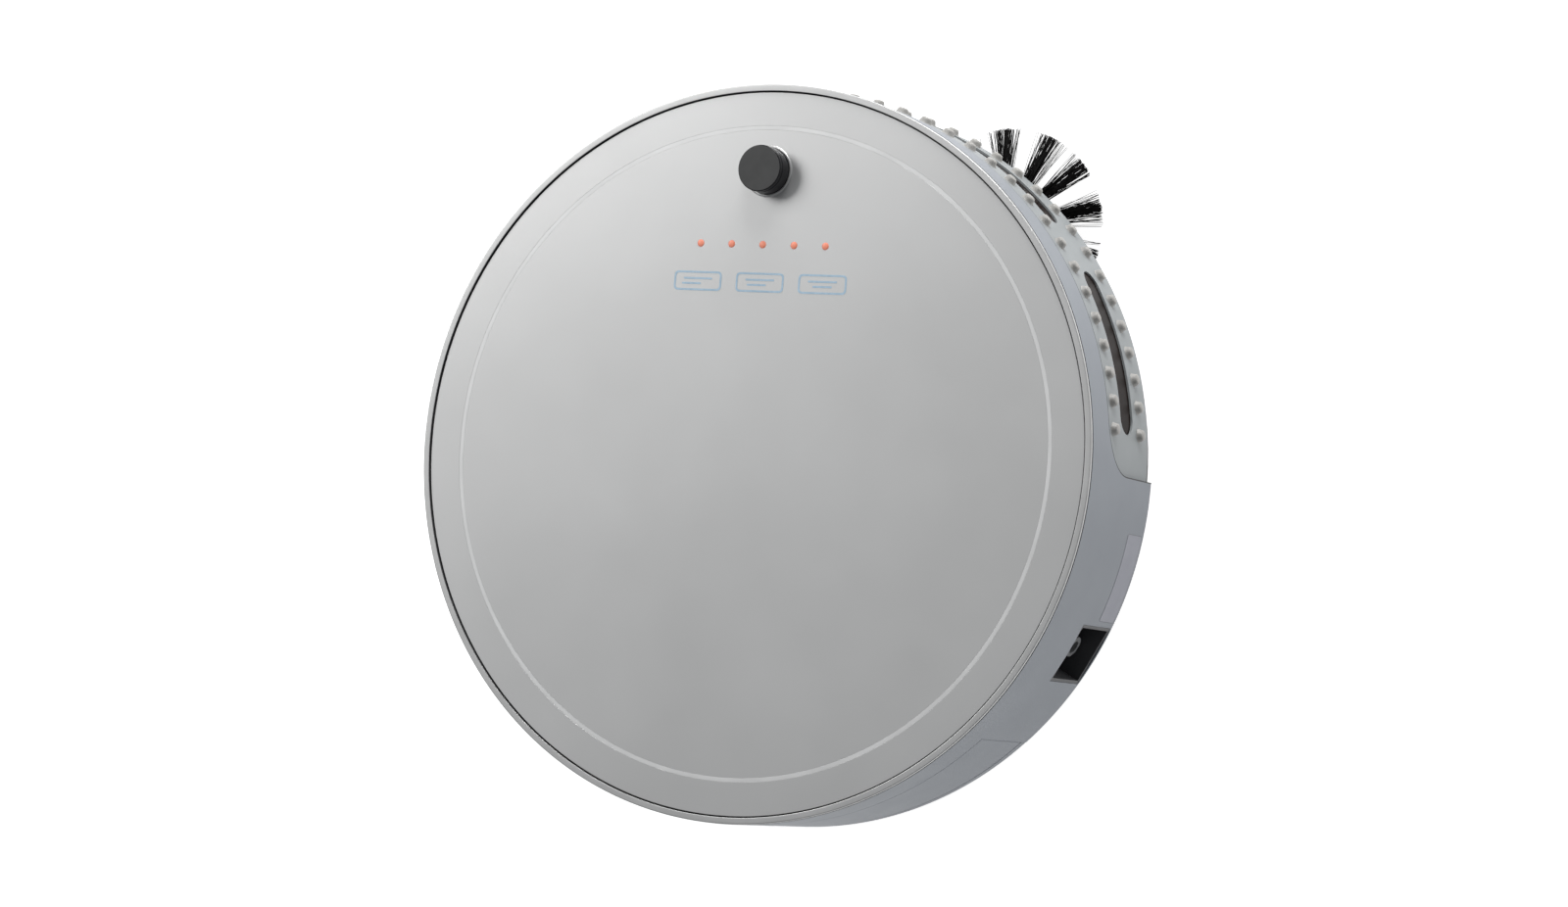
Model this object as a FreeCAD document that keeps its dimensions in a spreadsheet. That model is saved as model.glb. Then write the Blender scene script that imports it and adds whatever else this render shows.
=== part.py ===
import FreeCAD, Part
import math
import os
import re

import Sketcher

# Robotic floor cleaner: a round, self-driving vacuum cleaner with a sprung front bumper.
# Frame: origin on the floor below the middle of the body, +X to its right, +Y forwards, +Z up.
# All sizes are in millimetres and degrees. An azimuth is measured from +X towards +Y.

SIZES = [
    ("body_radius", 160, "outer radius of the housing"),
    ("top_height", 90, "floor to the top of the rim"),
    ("wall_bottom", 19, "floor to the lower edge of the side wall"),
    ("underside", 10, "ground clearance"),
    ("shell", 3, "wall of the upper housing"),
    ("floor_plate", 3, "thickness of the chassis floor"),
    ("chassis_inset", 2, "chassis edge inside the housing's outer face"),
    ("bevel_width", 9, "width of the sloping edge of the underside"),
    ("slip", 0.2, "clearance around a seated piece"),
    ("running", 0.05, "radial clearance of a shaft in its bore"),
    # top
    ("seal_width", 1, "dark seal between rim and top plate"),
    ("plate_thickness", 2, "top plate"),
    ("plate_drop", 0.9, "top plate below the rim's top"),
    ("ledge_width", 8, "ledge under the top plate's edge"),
    ("ledge_thickness", 2.5, "ledge under the top plate's edge"),
    ("deck_over_band", 4.5, "underside of the inner deck above the band's lower edge"),
    ("deck_thickness", 2, "inner deck"),
    ("decor_radius", 141, "middle of the decorative ring"),
    ("decor_width", 1.8, "decorative ring"),
    ("inlay_depth", 0.6, "recess of the ring and the touch keys"),
    ("turret_y", 122, "receiver turret, forwards of the middle"),
    ("turret_radius", 10.15, "receiver turret"),
    ("turret_rise", 9.5, "turret above the top plate"),
    ("turret_wall", 1.5, "turret lens"),
    ("turret_cap_thickness", 1.8, "turret cap"),
    ("turret_ring_width", 1.1, "ring at the foot of the turret"),
    ("light_radius", 1.6, "status light"),
    ("light_spacing", 15, "between status lights"),
    ("light_y", 90, "status lights, forwards of the middle"),
    ("key_y", 73.5, "touch keys, forwards of the middle"),
    ("key_spacing", 30, "between touch keys"),
    ("key_width", 23, "touch key"),
    ("key_height", 8.5, "touch key"),
    ("key_line", 0.8, "line of a touch key's mark"),
    ("display_length", 110, "display board"),
    ("display_depth", 42, "display board"),
    ("board_thickness", 1.6, "circuit boards"),
    ("main_board_length", 136, "main board"),
    ("main_board_depth", 74, "main board"),
    ("main_board_y", 8, "middle of the main board"),
    ("post_radius", 3, "board post"),
    ("post_height", 4, "board post"),
    # bumper
    ("band_height", 20.5, "housing band above the bumper"),
    ("bumper_gap", 0.5, "gap above, below and behind the bumper"),
    ("bumper_inset", 2, "bumper face inside the housing's outer face at the side"),
    ("bumper_forward", 2, "middle of the bumper's arc in front of the housing's middle"),
    ("bumper_wall", 2.5, "bumper shell"),
    ("bumper_travel", 4, "how far the bumper is pushed in"),
    ("seam_corner", 22, "round of the bumper's upper rear corner"),
    ("bumper_space", 9, "between the bumper and the chassis wall behind it"),
    ("front_wall", 2.5, "thickness of that wall"),
    ("nub_radius", 3, "rubber nub"),
    ("nub_rise", 2.6, "nub above the bumper's face"),
    ("nub_upper", 60, "height of the upper row of nubs"),
    ("nub_lower", 30.5, "height of the lower row of nubs"),
    ("nub_azimuth", 6.4, "first nub of a row"),
    ("nub_count", 39, "nubs in a row"),
    ("window_height", 14, "sensor window"),
    ("window_z", 44.3, "middle height of the sensor windows"),
    ("window_side_azimuth", 19.4, "middle of the side window"),
    ("window_front_azimuth", 55.9, "middle of the front window"),
    ("window_span", 26, "azimuth that a window spans"),
    ("window_thickness", 1.5, "sensor window"),
    ("sensor_size", 7, "optical sensor behind a window"),
    ("sensor_depth", 4, "optical sensor behind a window"),
    ("switch_azimuth", 38, "collision switch"),
    ("switch_width", 12, "collision switch"),
    ("switch_height", 7, "collision switch"),
    ("switch_z", 58.5, "height of the collision switches"),
    # drive units
    ("wheel_radius", 35, "drive wheel"),
    ("track", 226, "between the middles of the drive wheels"),
    ("wheel_width", 16, "drive wheel"),
    ("hub_radius", 26, "wheel hub"),
    ("tread_depth", 1.4, "tyre groove"),
    ("tread_width", 3, "tyre groove"),
    ("tread_count", 24, "grooves of a tyre"),
    ("wheel_axle_radius", 3, "wheel axle"),
    ("side_gap", 2, "free space beside the wheel and the arm"),
    ("arm_thickness", 15.5, "drive unit's gear case"),
    ("arm_wheel_radius", 14, "gear case round the wheel axle"),
    ("arm_pivot_radius", 8, "gear case round its pivot"),
    ("pivot_y", 42, "pivot forwards of the wheel axle"),
    ("pivot_z", 42, "height of the pivot"),
    ("pivot_pin_radius", 2.5, "pivot pin"),
    ("motor_radius", 12, "drive motor"),
    ("motor_length", 24, "drive motor"),
    ("motor_y", 20, "drive motor forwards of the wheel axle"),
    ("well_wall", 2, "wheel well"),
    ("well_front", 58, "outside of the well's front wall"),
    ("well_back", 41, "outside of the well's back wall"),
    # caster
    ("caster_radius", 13, "caster wheel"),
    ("caster_width", 14, "caster wheel"),
    ("caster_trail", 7, "caster wheel behind its swivel"),
    ("fork_radius", 21, "caster fork"),
    ("fork_top", 30, "top of the fork's body"),
    ("stem_radius", 4, "swivel stem"),
    ("stem_length", 17, "swivel stem"),
    ("caster_axle_radius", 1.5, "caster axle"),
    ("socket_wall", 3, "caster socket"),
    # side brush
    ("side_brush_azimuth", 55.2, "side brush"),
    ("side_brush_reach", 45, "tip of a tuft from the brush's middle"),
    ("side_hub_radius", 9, "side brush hub"),
    ("side_hub_low", 4.6, "floor to the hub"),
    ("side_hub_top", 9.4, "floor to the top of the hub"),
    ("side_shaft_radius", 2.5, "side brush shaft"),
    ("tuft_count", 13, "tufts"),
    ("tuft_root", 1, "tuft at its root"),
    ("tuft_tip", 2.4, "tuft at its tip"),
    ("side_motor_offset", 29, "side brush motor inwards of the brush"),
    ("side_gear_radius", 8.8, "gear case round the brush shaft"),
    ("side_motor_radius", 13, "side brush motor"),
    ("side_gear_height", 21, "side brush gear case"),
    ("side_motor_height", 28, "side brush motor"),
    # main brush
    ("brush_y", 49, "main brush behind the middle"),
    ("brush_z", 20, "height of the main brush's axis"),
    ("brush_radius", 19.5, "main brush over its bristles"),
    ("brush_core_radius", 9, "main brush core"),
    ("brush_end_gap", 2.2, "free space at each end of the main brush"),
    ("brush_journal_radius", 3, "main brush journal"),
    ("bristle_rows", 6, "rows of bristles"),
    ("bristle_thickness", 2.2, "row of bristles"),
    ("tunnel_clearance", 2, "around the main brush"),
    ("head_wall", 2.5, "brush head housing"),
    ("flange_depth", 60, "brush head flange and guard, front to back"),
    ("flange_thickness", 2, "brush head flange"),
    ("guard_drop", 0.8, "guard below the underside"),
    ("guard_thickness", 2.2, "brush guard"),
    ("guard_border", 3.5, "brush guard beside its opening"),
    ("throat_inset", 5, "suction throat narrower than the brush, each side"),
    ("throat_low", 24, "floor to the throat"),
    ("throat_high", 40, "floor to the throat's top"),
    ("brush_motor_radius", 11, "main brush motor"),
    ("brush_motor_length", 28, "main brush motor"),
    ("brush_gear_width", 9, "main brush gear case"),
    # dust bin
    ("bin_front", 78.5, "bin's front face behind the middle"),
    ("bin_inset", 6, "bin narrower than its outer cover, each side"),
    ("bin_bottom", 20, "floor to the bin"),
    ("bin_top", 62, "floor to the bin's rim"),
    ("bin_wall", 2, "bin wall"),
    ("cover_standoff", 3.5, "between the bin's back wall and its outer cover"),
    ("lid_thickness", 2, "bin lid"),
    ("cover_half_span", 44, "half the azimuth that the bin's outer cover spans"),
    ("cover_top", 68, "floor to the top of the bin's cover"),
    ("cover_gap", 0.4, "gap round the bin's cover"),
    ("latch_half_width", 12, "half the release button's width"),
    ("latch_low", 44, "floor to the release button"),
    ("latch_high", 56, "floor to the release button's top"),
    ("filter_half_width", 32, "half the filter's width"),
    ("filter_low", 46, "floor to the filter"),
    ("filter_high", 60, "floor to the filter's top"),
    ("filter_depth", 5.3, "filter frame"),
    ("filter_border", 2.6, "filter frame"),
    # suction fan
    ("fan_gap", 1.5, "between the fan housing and the bin"),
    ("fan_case_radius", 36, "fan housing"),
    ("fan_wall", 2, "fan housing"),
    ("fan_low", 46.5, "floor to the fan housing"),
    ("fan_top_gap", 0.5, "between the fan housing and the deck"),
    ("plenum_height", 5.5, "inlet channel under the fan"),
    ("plenum_half_width", 30, "half the inlet channel's width"),
    ("eye_radius", 12, "fan inlet"),
    ("impeller_radius", 28, "fan impeller"),
    ("impeller_low", 58, "floor to the impeller"),
    ("blade_height", 7, "impeller blade"),
    ("blade_thickness", 1.2, "impeller blade"),
    ("blade_count", 9, "impeller blades"),
    ("impeller_disc", 1.5, "impeller disc"),
    ("fan_hub_radius", 5, "impeller hub"),
    ("fan_shaft_radius", 1.5, "fan shaft"),
    ("fan_motor_radius", 14, "fan motor"),
    ("fan_motor_low", 68.5, "floor to the fan motor"),
    ("duct_y", 66.5, "middle of the exhaust duct behind the middle"),
    ("duct_width", 19, "exhaust duct"),
    ("duct_low", 55.5, "floor to the exhaust duct"),
    ("duct_high", 69, "floor to the exhaust duct's top"),
    ("duct_wall", 1.5, "exhaust duct"),
    ("grille_slat", 1.6, "exhaust grille slat"),
    # battery
    ("battery_half_width", 38, "half the battery's width"),
    ("battery_back", 12, "battery forwards of the middle"),
    ("battery_front", 86, "front of the battery"),
    ("battery_height", 22, "battery"),
    ("door_margin", 4, "battery door round its opening"),
    ("door_thickness", 2, "battery door"),
    # side port
    ("port_azimuth", -28.3, "charging port"),
    ("port_half_width", 14, "half the port's width"),
    ("port_low", 20.5, "floor to the port"),
    ("port_high", 52, "floor to the port's top"),
    ("port_depth", 13, "port recess and its back wall"),
    ("port_wall", 1.5, "port recess"),
    ("jack_radius", 5, "charging jack"),
    ("jack_bore_radius", 2.8, "charging jack"),
    ("jack_pin_radius", 1, "charging jack pin"),
    ("jack_reach", 6.4, "jack in front of the port's back"),
    ("jack_z", 29.5, "height of the charging jack"),
    ("rocker_z", 42, "height of the power switch"),
    ("rocker_half_height", 5, "power switch"),
    ("rocker_half_width", 5.5, "power switch"),
    ("rocker_tilt", 7, "power switch to each side of its middle"),
    ("label_low", 21, "floor to the blank rating label"),
    ("label_high", 37.5, "floor to the label's top"),
    ("label_azimuth", -22.4, "start of the label"),
    ("label_span", 14.2, "azimuth that the label spans"),
    ("label_thickness", 0.25, "label"),
    # screws, contacts and sensors
    ("boss_radius", 4, "screw boss"),
    ("boss_inset", 4.5, "middle of the screw bosses inside the chassis wall"),
    ("duct_boss_gap", 3, "between a screw boss and the exhaust duct"),
    ("screw_radius", 1.5, "screw"),
    ("screw_head_radius", 2.9, "screw head"),
    ("screw_head", 1.8, "screw head"),
    ("screw_length", 14, "screw under its head"),
    ("contact_x", 40, "charging contact"),
    ("contact_y", 101, "charging contact"),
    ("contact_length", 20, "charging contact"),
    ("contact_width", 9, "charging contact"),
    ("contact_thickness", 1, "charging contact"),
    ("contact_proud", 0.5, "charging contact below the underside"),
    ("cliff_inset", 8, "middle of the drop sensors inside the chassis wall"),
    ("cliff_radius", 5, "drop sensor's opening"),
]

# Places that follow from the sizes above.
PLACES = {
    "housing_inner": "body_radius - shell",
    "chassis_radius": "body_radius - chassis_inset",
    "flat_radius": "chassis_radius - bevel_width",
    "floor_top": "underside + floor_plate",
    "plate_top": "top_height - plate_drop",
    "plate_bottom": "plate_top - plate_thickness",
    "seal_outer": "housing_inner - slip / 2",
    "plate_radius": "seal_outer - seal_width - slip / 2",
    "band_bottom": "top_height - band_height",
    "deck_height": "band_bottom + deck_over_band",
    "deck_top": "deck_height + deck_thickness",
    "bumper_radius": "body_radius - bumper_inset",
    "bumper_inner": "bumper_radius - bumper_wall",
    "bumper_top": "band_bottom - bumper_gap",
    "front_wall_radius": "bumper_inner - bumper_space",
    "front_inside": "front_wall_radius - front_wall",
    "boss_circle": "front_inside - boss_inset",
    "cliff_circle": "front_inside - cliff_inset",
    "caster_y": "front_inside - socket_outer - 1.3",
    "side_brush_radius": "front_inside - side_gear_radius - 0.3",
    "wheel_x": "track / 2",
    "bumper_bottom": "wall_bottom + bumper_gap",
    "display_top": "plate_bottom - 1",
    "main_board_low": "deck_top + post_height",
    "wheel_inner": "wheel_x - wheel_width / 2",
    "wheel_outer": "wheel_x + wheel_width / 2",
    "arm_outer": "wheel_inner - side_gap - well_wall - side_gap / 2",
    "arm_inner": "arm_outer - arm_thickness",
    "well_inner_face": "arm_inner - side_gap",
    "well_outer_face": "wheel_outer + side_gap",
    "well_top": "deck_height - 1",
    "socket_bore": "fork_radius + 0.7",
    "socket_outer": "socket_bore + socket_wall",
    "socket_top": "fork_top + 1.8",
    "tunnel_radius": "brush_radius + tunnel_clearance",
    "head_radius": "tunnel_radius + head_wall",
    "head_bottom": "underside - guard_drop + guard_thickness + slip",
    "flange_front": "-brush_y + flange_depth / 2",
    "flange_back": "-brush_y - flange_depth / 2",
    "head_half_length": "well_inner_face - well_wall - slip",
    "brush_half_length": "head_half_length - head_wall - brush_end_gap",
    "throat_half_width": "brush_half_length - throat_inset",
    "throat_back": "-bin_front + 1.2",
    "cover_half_width": "body_radius * sin(cover_half_span)",
    "bin_half_width": "cover_half_width - bin_inset",
    "bin_back_radius": "housing_inner - cover_standoff",
    "fan_y": "bin_front - fan_gap - fan_case_radius",
    "fan_high": "deck_height - fan_top_gap",
    "port_face": "body_radius - 0.7",
    "port_back": "port_face - port_depth",
    "rocker_pivot": "port_back + 2.2",
    "side_x": "side_brush_radius * cos(side_brush_azimuth)",
    "side_y": "side_brush_radius * sin(side_brush_azimuth)",
    "cavity_low": "fan_low + fan_wall + plenum_height + fan_wall",
    "disc_low": "impeller_low + blade_height",
    "bay_back": "battery_back - slip * 2",
    "bay_front": "battery_front + slip * 2",
    "bay_side": "battery_half_width + slip * 2",
}

doc = FreeCAD.newDocument("RobotFloorCleaner")
sheet = doc.addObject("Spreadsheet::Sheet", "Sizes")
for row, (alias, value, note) in enumerate(SIZES, 1):
    sheet.set("A%d" % row, note)
    sheet.set("B%d" % row, str(value))
    sheet.setAlias("B%d" % row, alias)
doc.recompute()

ALIASES = {alias for alias, value, note in SIZES}
NODES = []


# ---- expressions -------------------------------------------------------------------------------

def sized(text):
    """The expression with each size and place written as the sheet's own cells."""
    def swap(match):
        word = match.group(0)
        if word in ALIASES:
            return "Sizes." + word
        if word in PLACES:
            return "(" + sized(PLACES[word]) + ")"
        return word
    return re.sub(r"[a-z][a-z_]*", swap, str(text))


def number(text):
    """The expression's present value."""
    return float(sheet.evalExpression(sized(text)))


def bind(target, **formulas):
    for name, text in formulas.items():
        target.setExpression(name, sized(text))


def place(target, x="0", y="0", z="0", axis=(0, 0, 1), turn="0"):
    """Puts an object at x, y, z, turned about an axis through that point."""
    base = FreeCAD.Vector(number(x), number(y), number(z))
    target.Placement = FreeCAD.Placement(base, FreeCAD.Rotation(FreeCAD.Vector(axis), number(turn)))
    for name, text in (("x", x), ("y", y), ("z", z)):
        target.setExpression(".Placement.Base." + name, sized(text))
    return target


def ordered(side, near, far):
    """A span from near to far on the right (side 1) or its mirror image on the left (side -1)."""
    return (near, far) if side > 0 else ("-(%s)" % far, "-(%s)" % near)


def node(target, label):
    """Names a finished piece. Its label is its file's name."""
    target.Label = label
    NODES.append(target)
    return target


# ---- part design bodies ------------------------------------------------------------------------

def body(label):
    return node(doc.addObject("PartDesign::Body", label), label)


def sketch(owner, plane, height="0", facing=None):
    """A sketch on an origin plane. facing turns an XZ sketch to look outwards at an azimuth."""
    drawing = owner.newObject("Sketcher::SketchObject", owner.Label + "_sketch")
    support = next(f for f in owner.Origin.OriginFeatures if f.Role == plane)
    drawing.AttachmentSupport = [(support, "")]
    drawing.MapMode = "FlatFace"
    if facing is not None:
        turn = FreeCAD.Rotation(FreeCAD.Vector(0, 1, 0), number(facing) + 90)
        drawing.AttachmentOffset = FreeCAD.Placement(FreeCAD.Vector(), turn)
    else:
        drawing.setExpression(".AttachmentOffset.Base.z", sized(height))
    return drawing


def hold(drawing, kind, geometry, position, text):
    """A dimension, from the origin to a point, that follows an expression."""
    index = drawing.addConstraint(Sketcher.Constraint(kind, geometry, position, number(text)))
    drawing.setExpression("Constraints[%d]" % index, sized(text))


def circle(drawing, x, y, radius):
    middle = FreeCAD.Vector(number(x), number(y), 0)
    index = drawing.addGeometry(Part.Circle(middle, FreeCAD.Vector(0, 0, 1), number(radius)))
    hold(drawing, "DistanceX", index, 3, x)
    hold(drawing, "DistanceY", index, 3, y)
    rule = drawing.addConstraint(Sketcher.Constraint("Radius", index, number(radius)))
    drawing.setExpression("Constraints[%d]" % rule, sized(radius))


def outline(drawing, corners):
    """Closed outline. A corner is (x, y), or (x, y, centre x, centre y, way) where an arc leads
    to it: way 1 is anticlockwise and way -1 is clockwise."""
    points = [(number(corner[0]), number(corner[1])) for corner in corners]
    edges = []
    for i, corner in enumerate(corners):
        start, end = points[i - 1], points[i]
        if len(corner) == 2:
            line = Part.LineSegment(FreeCAD.Vector(*start, 0), FreeCAD.Vector(*end, 0))
            edges.append((drawing.addGeometry(line), 1, 2))
            continue
        middle = (number(corner[2]), number(corner[3]))
        way = corner[4]
        angles = [math.atan2(p[1] - middle[1], p[0] - middle[0]) for p in (start, end)]
        if way < 0:
            angles.reverse()
        if angles[1] <= angles[0]:
            angles[1] += 2 * math.pi
        radius = math.dist(middle, start)
        round_edge = Part.Circle(FreeCAD.Vector(*middle, 0), FreeCAD.Vector(0, 0, 1), radius)
        arc = Part.ArcOfCircle(round_edge, *angles)
        edges.append((drawing.addGeometry(arc), 1, 2) if way > 0 else (drawing.addGeometry(arc), 2, 1))
    for i, (edge, first, last) in enumerate(edges):
        before = edges[i - 1]
        drawing.addConstraint(Sketcher.Constraint("Coincident", before[0], before[2], edge, first))
        hold(drawing, "DistanceX", edge, last, corners[i][0])
        hold(drawing, "DistanceY", edge, last, corners[i][1])
        if len(corners[i]) > 2:
            level = abs(points[i][0] - points[i - 1][0]) > abs(points[i][1] - points[i - 1][1])
            kind, text = ("DistanceY", corners[i][3]) if level else ("DistanceX", corners[i][2])
            hold(drawing, kind, edge, 3, text)


def rectangle(drawing, x0, x1, y0, y1):
    outline(drawing, [(x0, y0), (x1, y0), (x1, y1), (x0, y1)])


def finished(owner, feature, before, grows):
    """Recomputes and makes sure that the feature added or removed material."""
    doc.recompute()
    after = owner.Shape.Volume
    if (after > before + 1e-6) != grows and abs(after - before) > 1e-6 or abs(after - before) < 1e-6:
        raise ValueError("%s: %s changed nothing as it should" % (owner.Label, feature.Name))
    return feature


def volume_of(owner):
    return owner.Shape.Volume if owner.Tip is not None and not owner.Shape.isNull() else 0.0


def pad(owner, drawing, length, back=False):
    before = volume_of(owner)
    feature = owner.newObject("PartDesign::Pad", owner.Label + "_pad")
    feature.Profile = drawing
    feature.Reversed = back
    bind(feature, Length=length)
    return finished(owner, feature, before, True)


def pocket(owner, drawing, length=None, forward=False):
    """Cuts against the sketch's normal, or along it (forward), to a depth or all the way."""
    before = volume_of(owner)
    feature = owner.newObject("PartDesign::Pocket", owner.Label + "_pocket")
    feature.Profile = drawing
    feature.Reversed = forward
    if length is None:
        feature.Type = "ThroughAll"
    else:
        bind(feature, Length=length)
    return finished(owner, feature, before, False)


def through(owner, drawing):
    """Cuts all the way in both directions."""
    before = volume_of(owner)
    feature = owner.newObject("PartDesign::Pocket", owner.Label + "_pocket")
    feature.Profile = drawing
    feature.Type = "ThroughAll"
    feature.SideType = "Symmetric"
    return finished(owner, feature, before, False)


def revolve(owner, drawing, angle="360"):
    """Turns a profile about the body's own Z axis."""
    before = volume_of(owner)
    feature = owner.newObject("PartDesign::Revolution", owner.Label + "_turned")
    feature.Profile = drawing
    feature.ReferenceAxis = (drawing, ["V_Axis"])
    bind(feature, Angle=angle)
    return finished(owner, feature, before, True)


def turned(label, profile, angle="360"):
    """A body of revolution from (radius, height) corners."""
    owner = body(label)
    drawing = sketch(owner, "XZ_Plane")
    outline(drawing, profile)
    revolve(owner, drawing, angle)
    return owner


def polar(owner, feature, count):
    """Repeats a feature round the body's Z axis."""
    doc.recompute()
    pattern = owner.newObject("PartDesign::PolarPattern", owner.Label + "_pattern")
    pattern.Originals = [feature]
    pattern.Axis = (next(f for f in owner.Origin.OriginFeatures if f.Role == "Z_Axis"), [""])
    pattern.Angle = 360
    bind(pattern, Occurrences=count)
    owner.Tip = pattern
    doc.recompute()
    return pattern


def shaped(owner, kind, size, choose, name="Radius"):
    """Rounds or bevels the edges that choose(edge) picks."""
    doc.recompute()
    base = owner.Tip
    names = ["Edge%d" % (i + 1) for i, edge in enumerate(base.Shape.Edges) if choose(edge)]
    feature = owner.newObject("PartDesign::" + kind, owner.Label + "_" + kind.lower())
    feature.Base = (base, names)
    feature.setExpression(name, sized(size))
    doc.recompute()
    return feature


def ring_at(edge, radius, height):
    """Whether an edge lies on a circle of this radius round Z at this height."""
    ends = [edge.valueAt(t) for t in (edge.FirstParameter, sum(edge.ParameterRange) / 2)]
    return all(abs(math.hypot(p.x, p.y) - radius) < 0.01 and abs(p.z - height) < 0.01 for p in ends)


# ---- primitives and booleans -------------------------------------------------------------------

def block(x0, x1, y0, y1, z0, z1):
    solid = doc.addObject("Part::Box", "Block")
    bind(solid, Length="(%s) - (%s)" % (x1, x0), Width="(%s) - (%s)" % (y1, y0),
         Height="(%s) - (%s)" % (z1, z0))
    return place(solid, x0, y0, z0)


def rod(radius, start, end, x="0", y="0", z="0", along="Z"):
    """A cylinder from start to end along an axis."""
    solid = doc.addObject("Part::Cylinder", "Rod")
    bind(solid, Radius=radius, Height="(%s) - (%s)" % (end, start))
    if along == "X":
        return place(solid, start, y, z, (0, 1, 0), "90")
    if along == "Y":
        return place(solid, x, start, z, (1, 0, 0), "-90")
    return place(solid, x, y, start)


def union(*solids):
    joined = doc.addObject("Part::MultiFuse", "Union")
    joined.Shapes = list(solids)
    return joined


def cut(base, *tools):
    rest = doc.addObject("Part::Cut", "Difference")
    rest.Base = base
    rest.Tool = tools[0] if len(tools) == 1 else union(*tools)
    return rest


def common(first, second):
    shared = doc.addObject("Part::Common", "Overlap")
    shared.Base = first
    shared.Tool = second
    return shared


def group(*solids):
    """Separate solids that share one node."""
    gathered = doc.addObject("Part::Compound", "Group")
    gathered.Links = list(solids)
    return gathered


# ---- chassis -----------------------------------------------------------------------------------

# Each screw boss has a mirror image on the left. The one beside the exhaust duct keeps clear of it.
DUCT_BOSS_Y = "(-duct_y + duct_width / 2 + boss_radius + duct_boss_gap)"
BOSSES = [("boss_circle * cos(62.7)", "boss_circle * sin(62.7)"),
          ("(boss_circle + 1) * cos(17.4)", "(boss_circle + 1) * sin(17.4)"),
          ("sqrt((boss_circle - 2)^2 - %s^2)" % DUCT_BOSS_Y, DUCT_BOSS_Y),
          ("(boss_circle + 5) * cos(38.5)", "-(boss_circle + 5) * sin(38.5)")]
BOSS_PLACES = [("%s * %s" % (side, x), y) for x, y in BOSSES for side in ("1", "-1")]
CLIFF_PLACES = [("cliff_circle * cos(%s)" % azimuth, "cliff_circle * sin(%s)" % azimuth)
                for azimuth in ("30", "73", "107", "150")]


def base_chassis():
    owner = turned("base_chassis", [
        ("0", "underside"), ("flat_radius", "underside"), ("chassis_radius", "wall_bottom"),
        ("chassis_radius - 4", "wall_bottom"), ("flat_radius - 1", "floor_top"), ("0", "floor_top")])
    wall = sketch(owner, "XY_Plane", "floor_top")
    outline(wall, [("front_wall_radius", "0"), ("-front_wall_radius", "0", "0", "0", 1),
                   ("-front_inside", "0"), ("front_inside", "0", "0", "0", -1)])
    pad(owner, wall, "bumper_top - floor_top")
    bosses = sketch(owner, "XY_Plane", "floor_top")
    for x, y in BOSS_PLACES:
        circle(bosses, x, y, "boss_radius")
    pad(owner, bosses, "deck_height - floor_top")
    rails = sketch(owner, "XY_Plane", "floor_top")
    for side in (1, -1):
        rectangle(rails, *ordered(side, "bin_half_width * 0.6", "bin_half_width * 0.6 + 3"),
                  "-bin_back_radius + 16", "-bin_front - 4")
    pad(owner, rails, "bin_bottom - slip - floor_top")
    openings = sketch(owner, "XY_Plane", "underside - 1")
    for side in (1, -1):
        rectangle(openings, *ordered(side, "well_inner_face + slip", "well_outer_face - slip"),
                  "-well_back + well_wall", "well_front - well_wall - 9")
    rectangle(openings, "-head_half_length - slip", "head_half_length + slip",
              "flange_back - slip", "flange_front + slip")
    rectangle(openings, "-bay_side", "bay_side", "bay_back", "bay_front")
    circle(openings, "0", "caster_y", "socket_outer + slip")
    circle(openings, "side_x", "side_y", "side_shaft_radius + 1")
    for x, y in CLIFF_PLACES:
        circle(openings, x, y, "cliff_radius")
    for x, y in BOSS_PLACES:
        circle(openings, x, y, "screw_radius")
    pocket(owner, openings, "floor_plate + 18", forward=True)
    heads = sketch(owner, "XY_Plane", "underside - 1")
    for x, y in BOSS_PLACES:
        circle(heads, x, y, "screw_head_radius + slip")
    pocket(owner, heads, "1 + screw_head + slip", forward=True)
    recess = sketch(owner, "XY_Plane", "underside - 1")
    rectangle(recess, "-bay_side - door_margin", "bay_side + door_margin",
              "bay_back - door_margin", "bay_front + door_margin")
    pocket(owner, recess, "1 + door_thickness", forward=True)
    seats = sketch(owner, "XY_Plane", "underside - 1")
    for side in (1, -1):
        rectangle(seats, *ordered(side, "contact_x - contact_length / 2", "contact_x + contact_length / 2"),
                  "contact_y - contact_width / 2", "contact_y + contact_width / 2")
    pocket(owner, seats, "1 + contact_thickness - contact_proud", forward=True)


def underside_screws():
    neck = "underside + screw_head"
    screws = [union(rod("screw_head_radius", "underside + slip", neck, x, y),
                    rod("screw_radius", neck, neck + " + screw_length", x, y)) for x, y in BOSS_PLACES]
    node(group(*screws), "underside_screws")


def charging_contacts():
    plates = [block(*ordered(side, "contact_x - contact_length / 2", "contact_x + contact_length / 2"),
                    "contact_y - contact_width / 2", "contact_y + contact_width / 2",
                    "underside - contact_proud", "underside - contact_proud + contact_thickness")
              for side in (1, -1)]
    node(group(*plates), "charging_contacts")


def cliff_sensors():
    eyes = [union(rod("cliff_radius - slip / 2", "underside + 0.3", "floor_top", x, y),
                  rod("cliff_radius + 2", "floor_top", "floor_top + 7", x, y)) for x, y in CLIFF_PLACES]
    node(group(*eyes), "cliff_sensors")


# ---- housing and top ---------------------------------------------------------------------------

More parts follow.
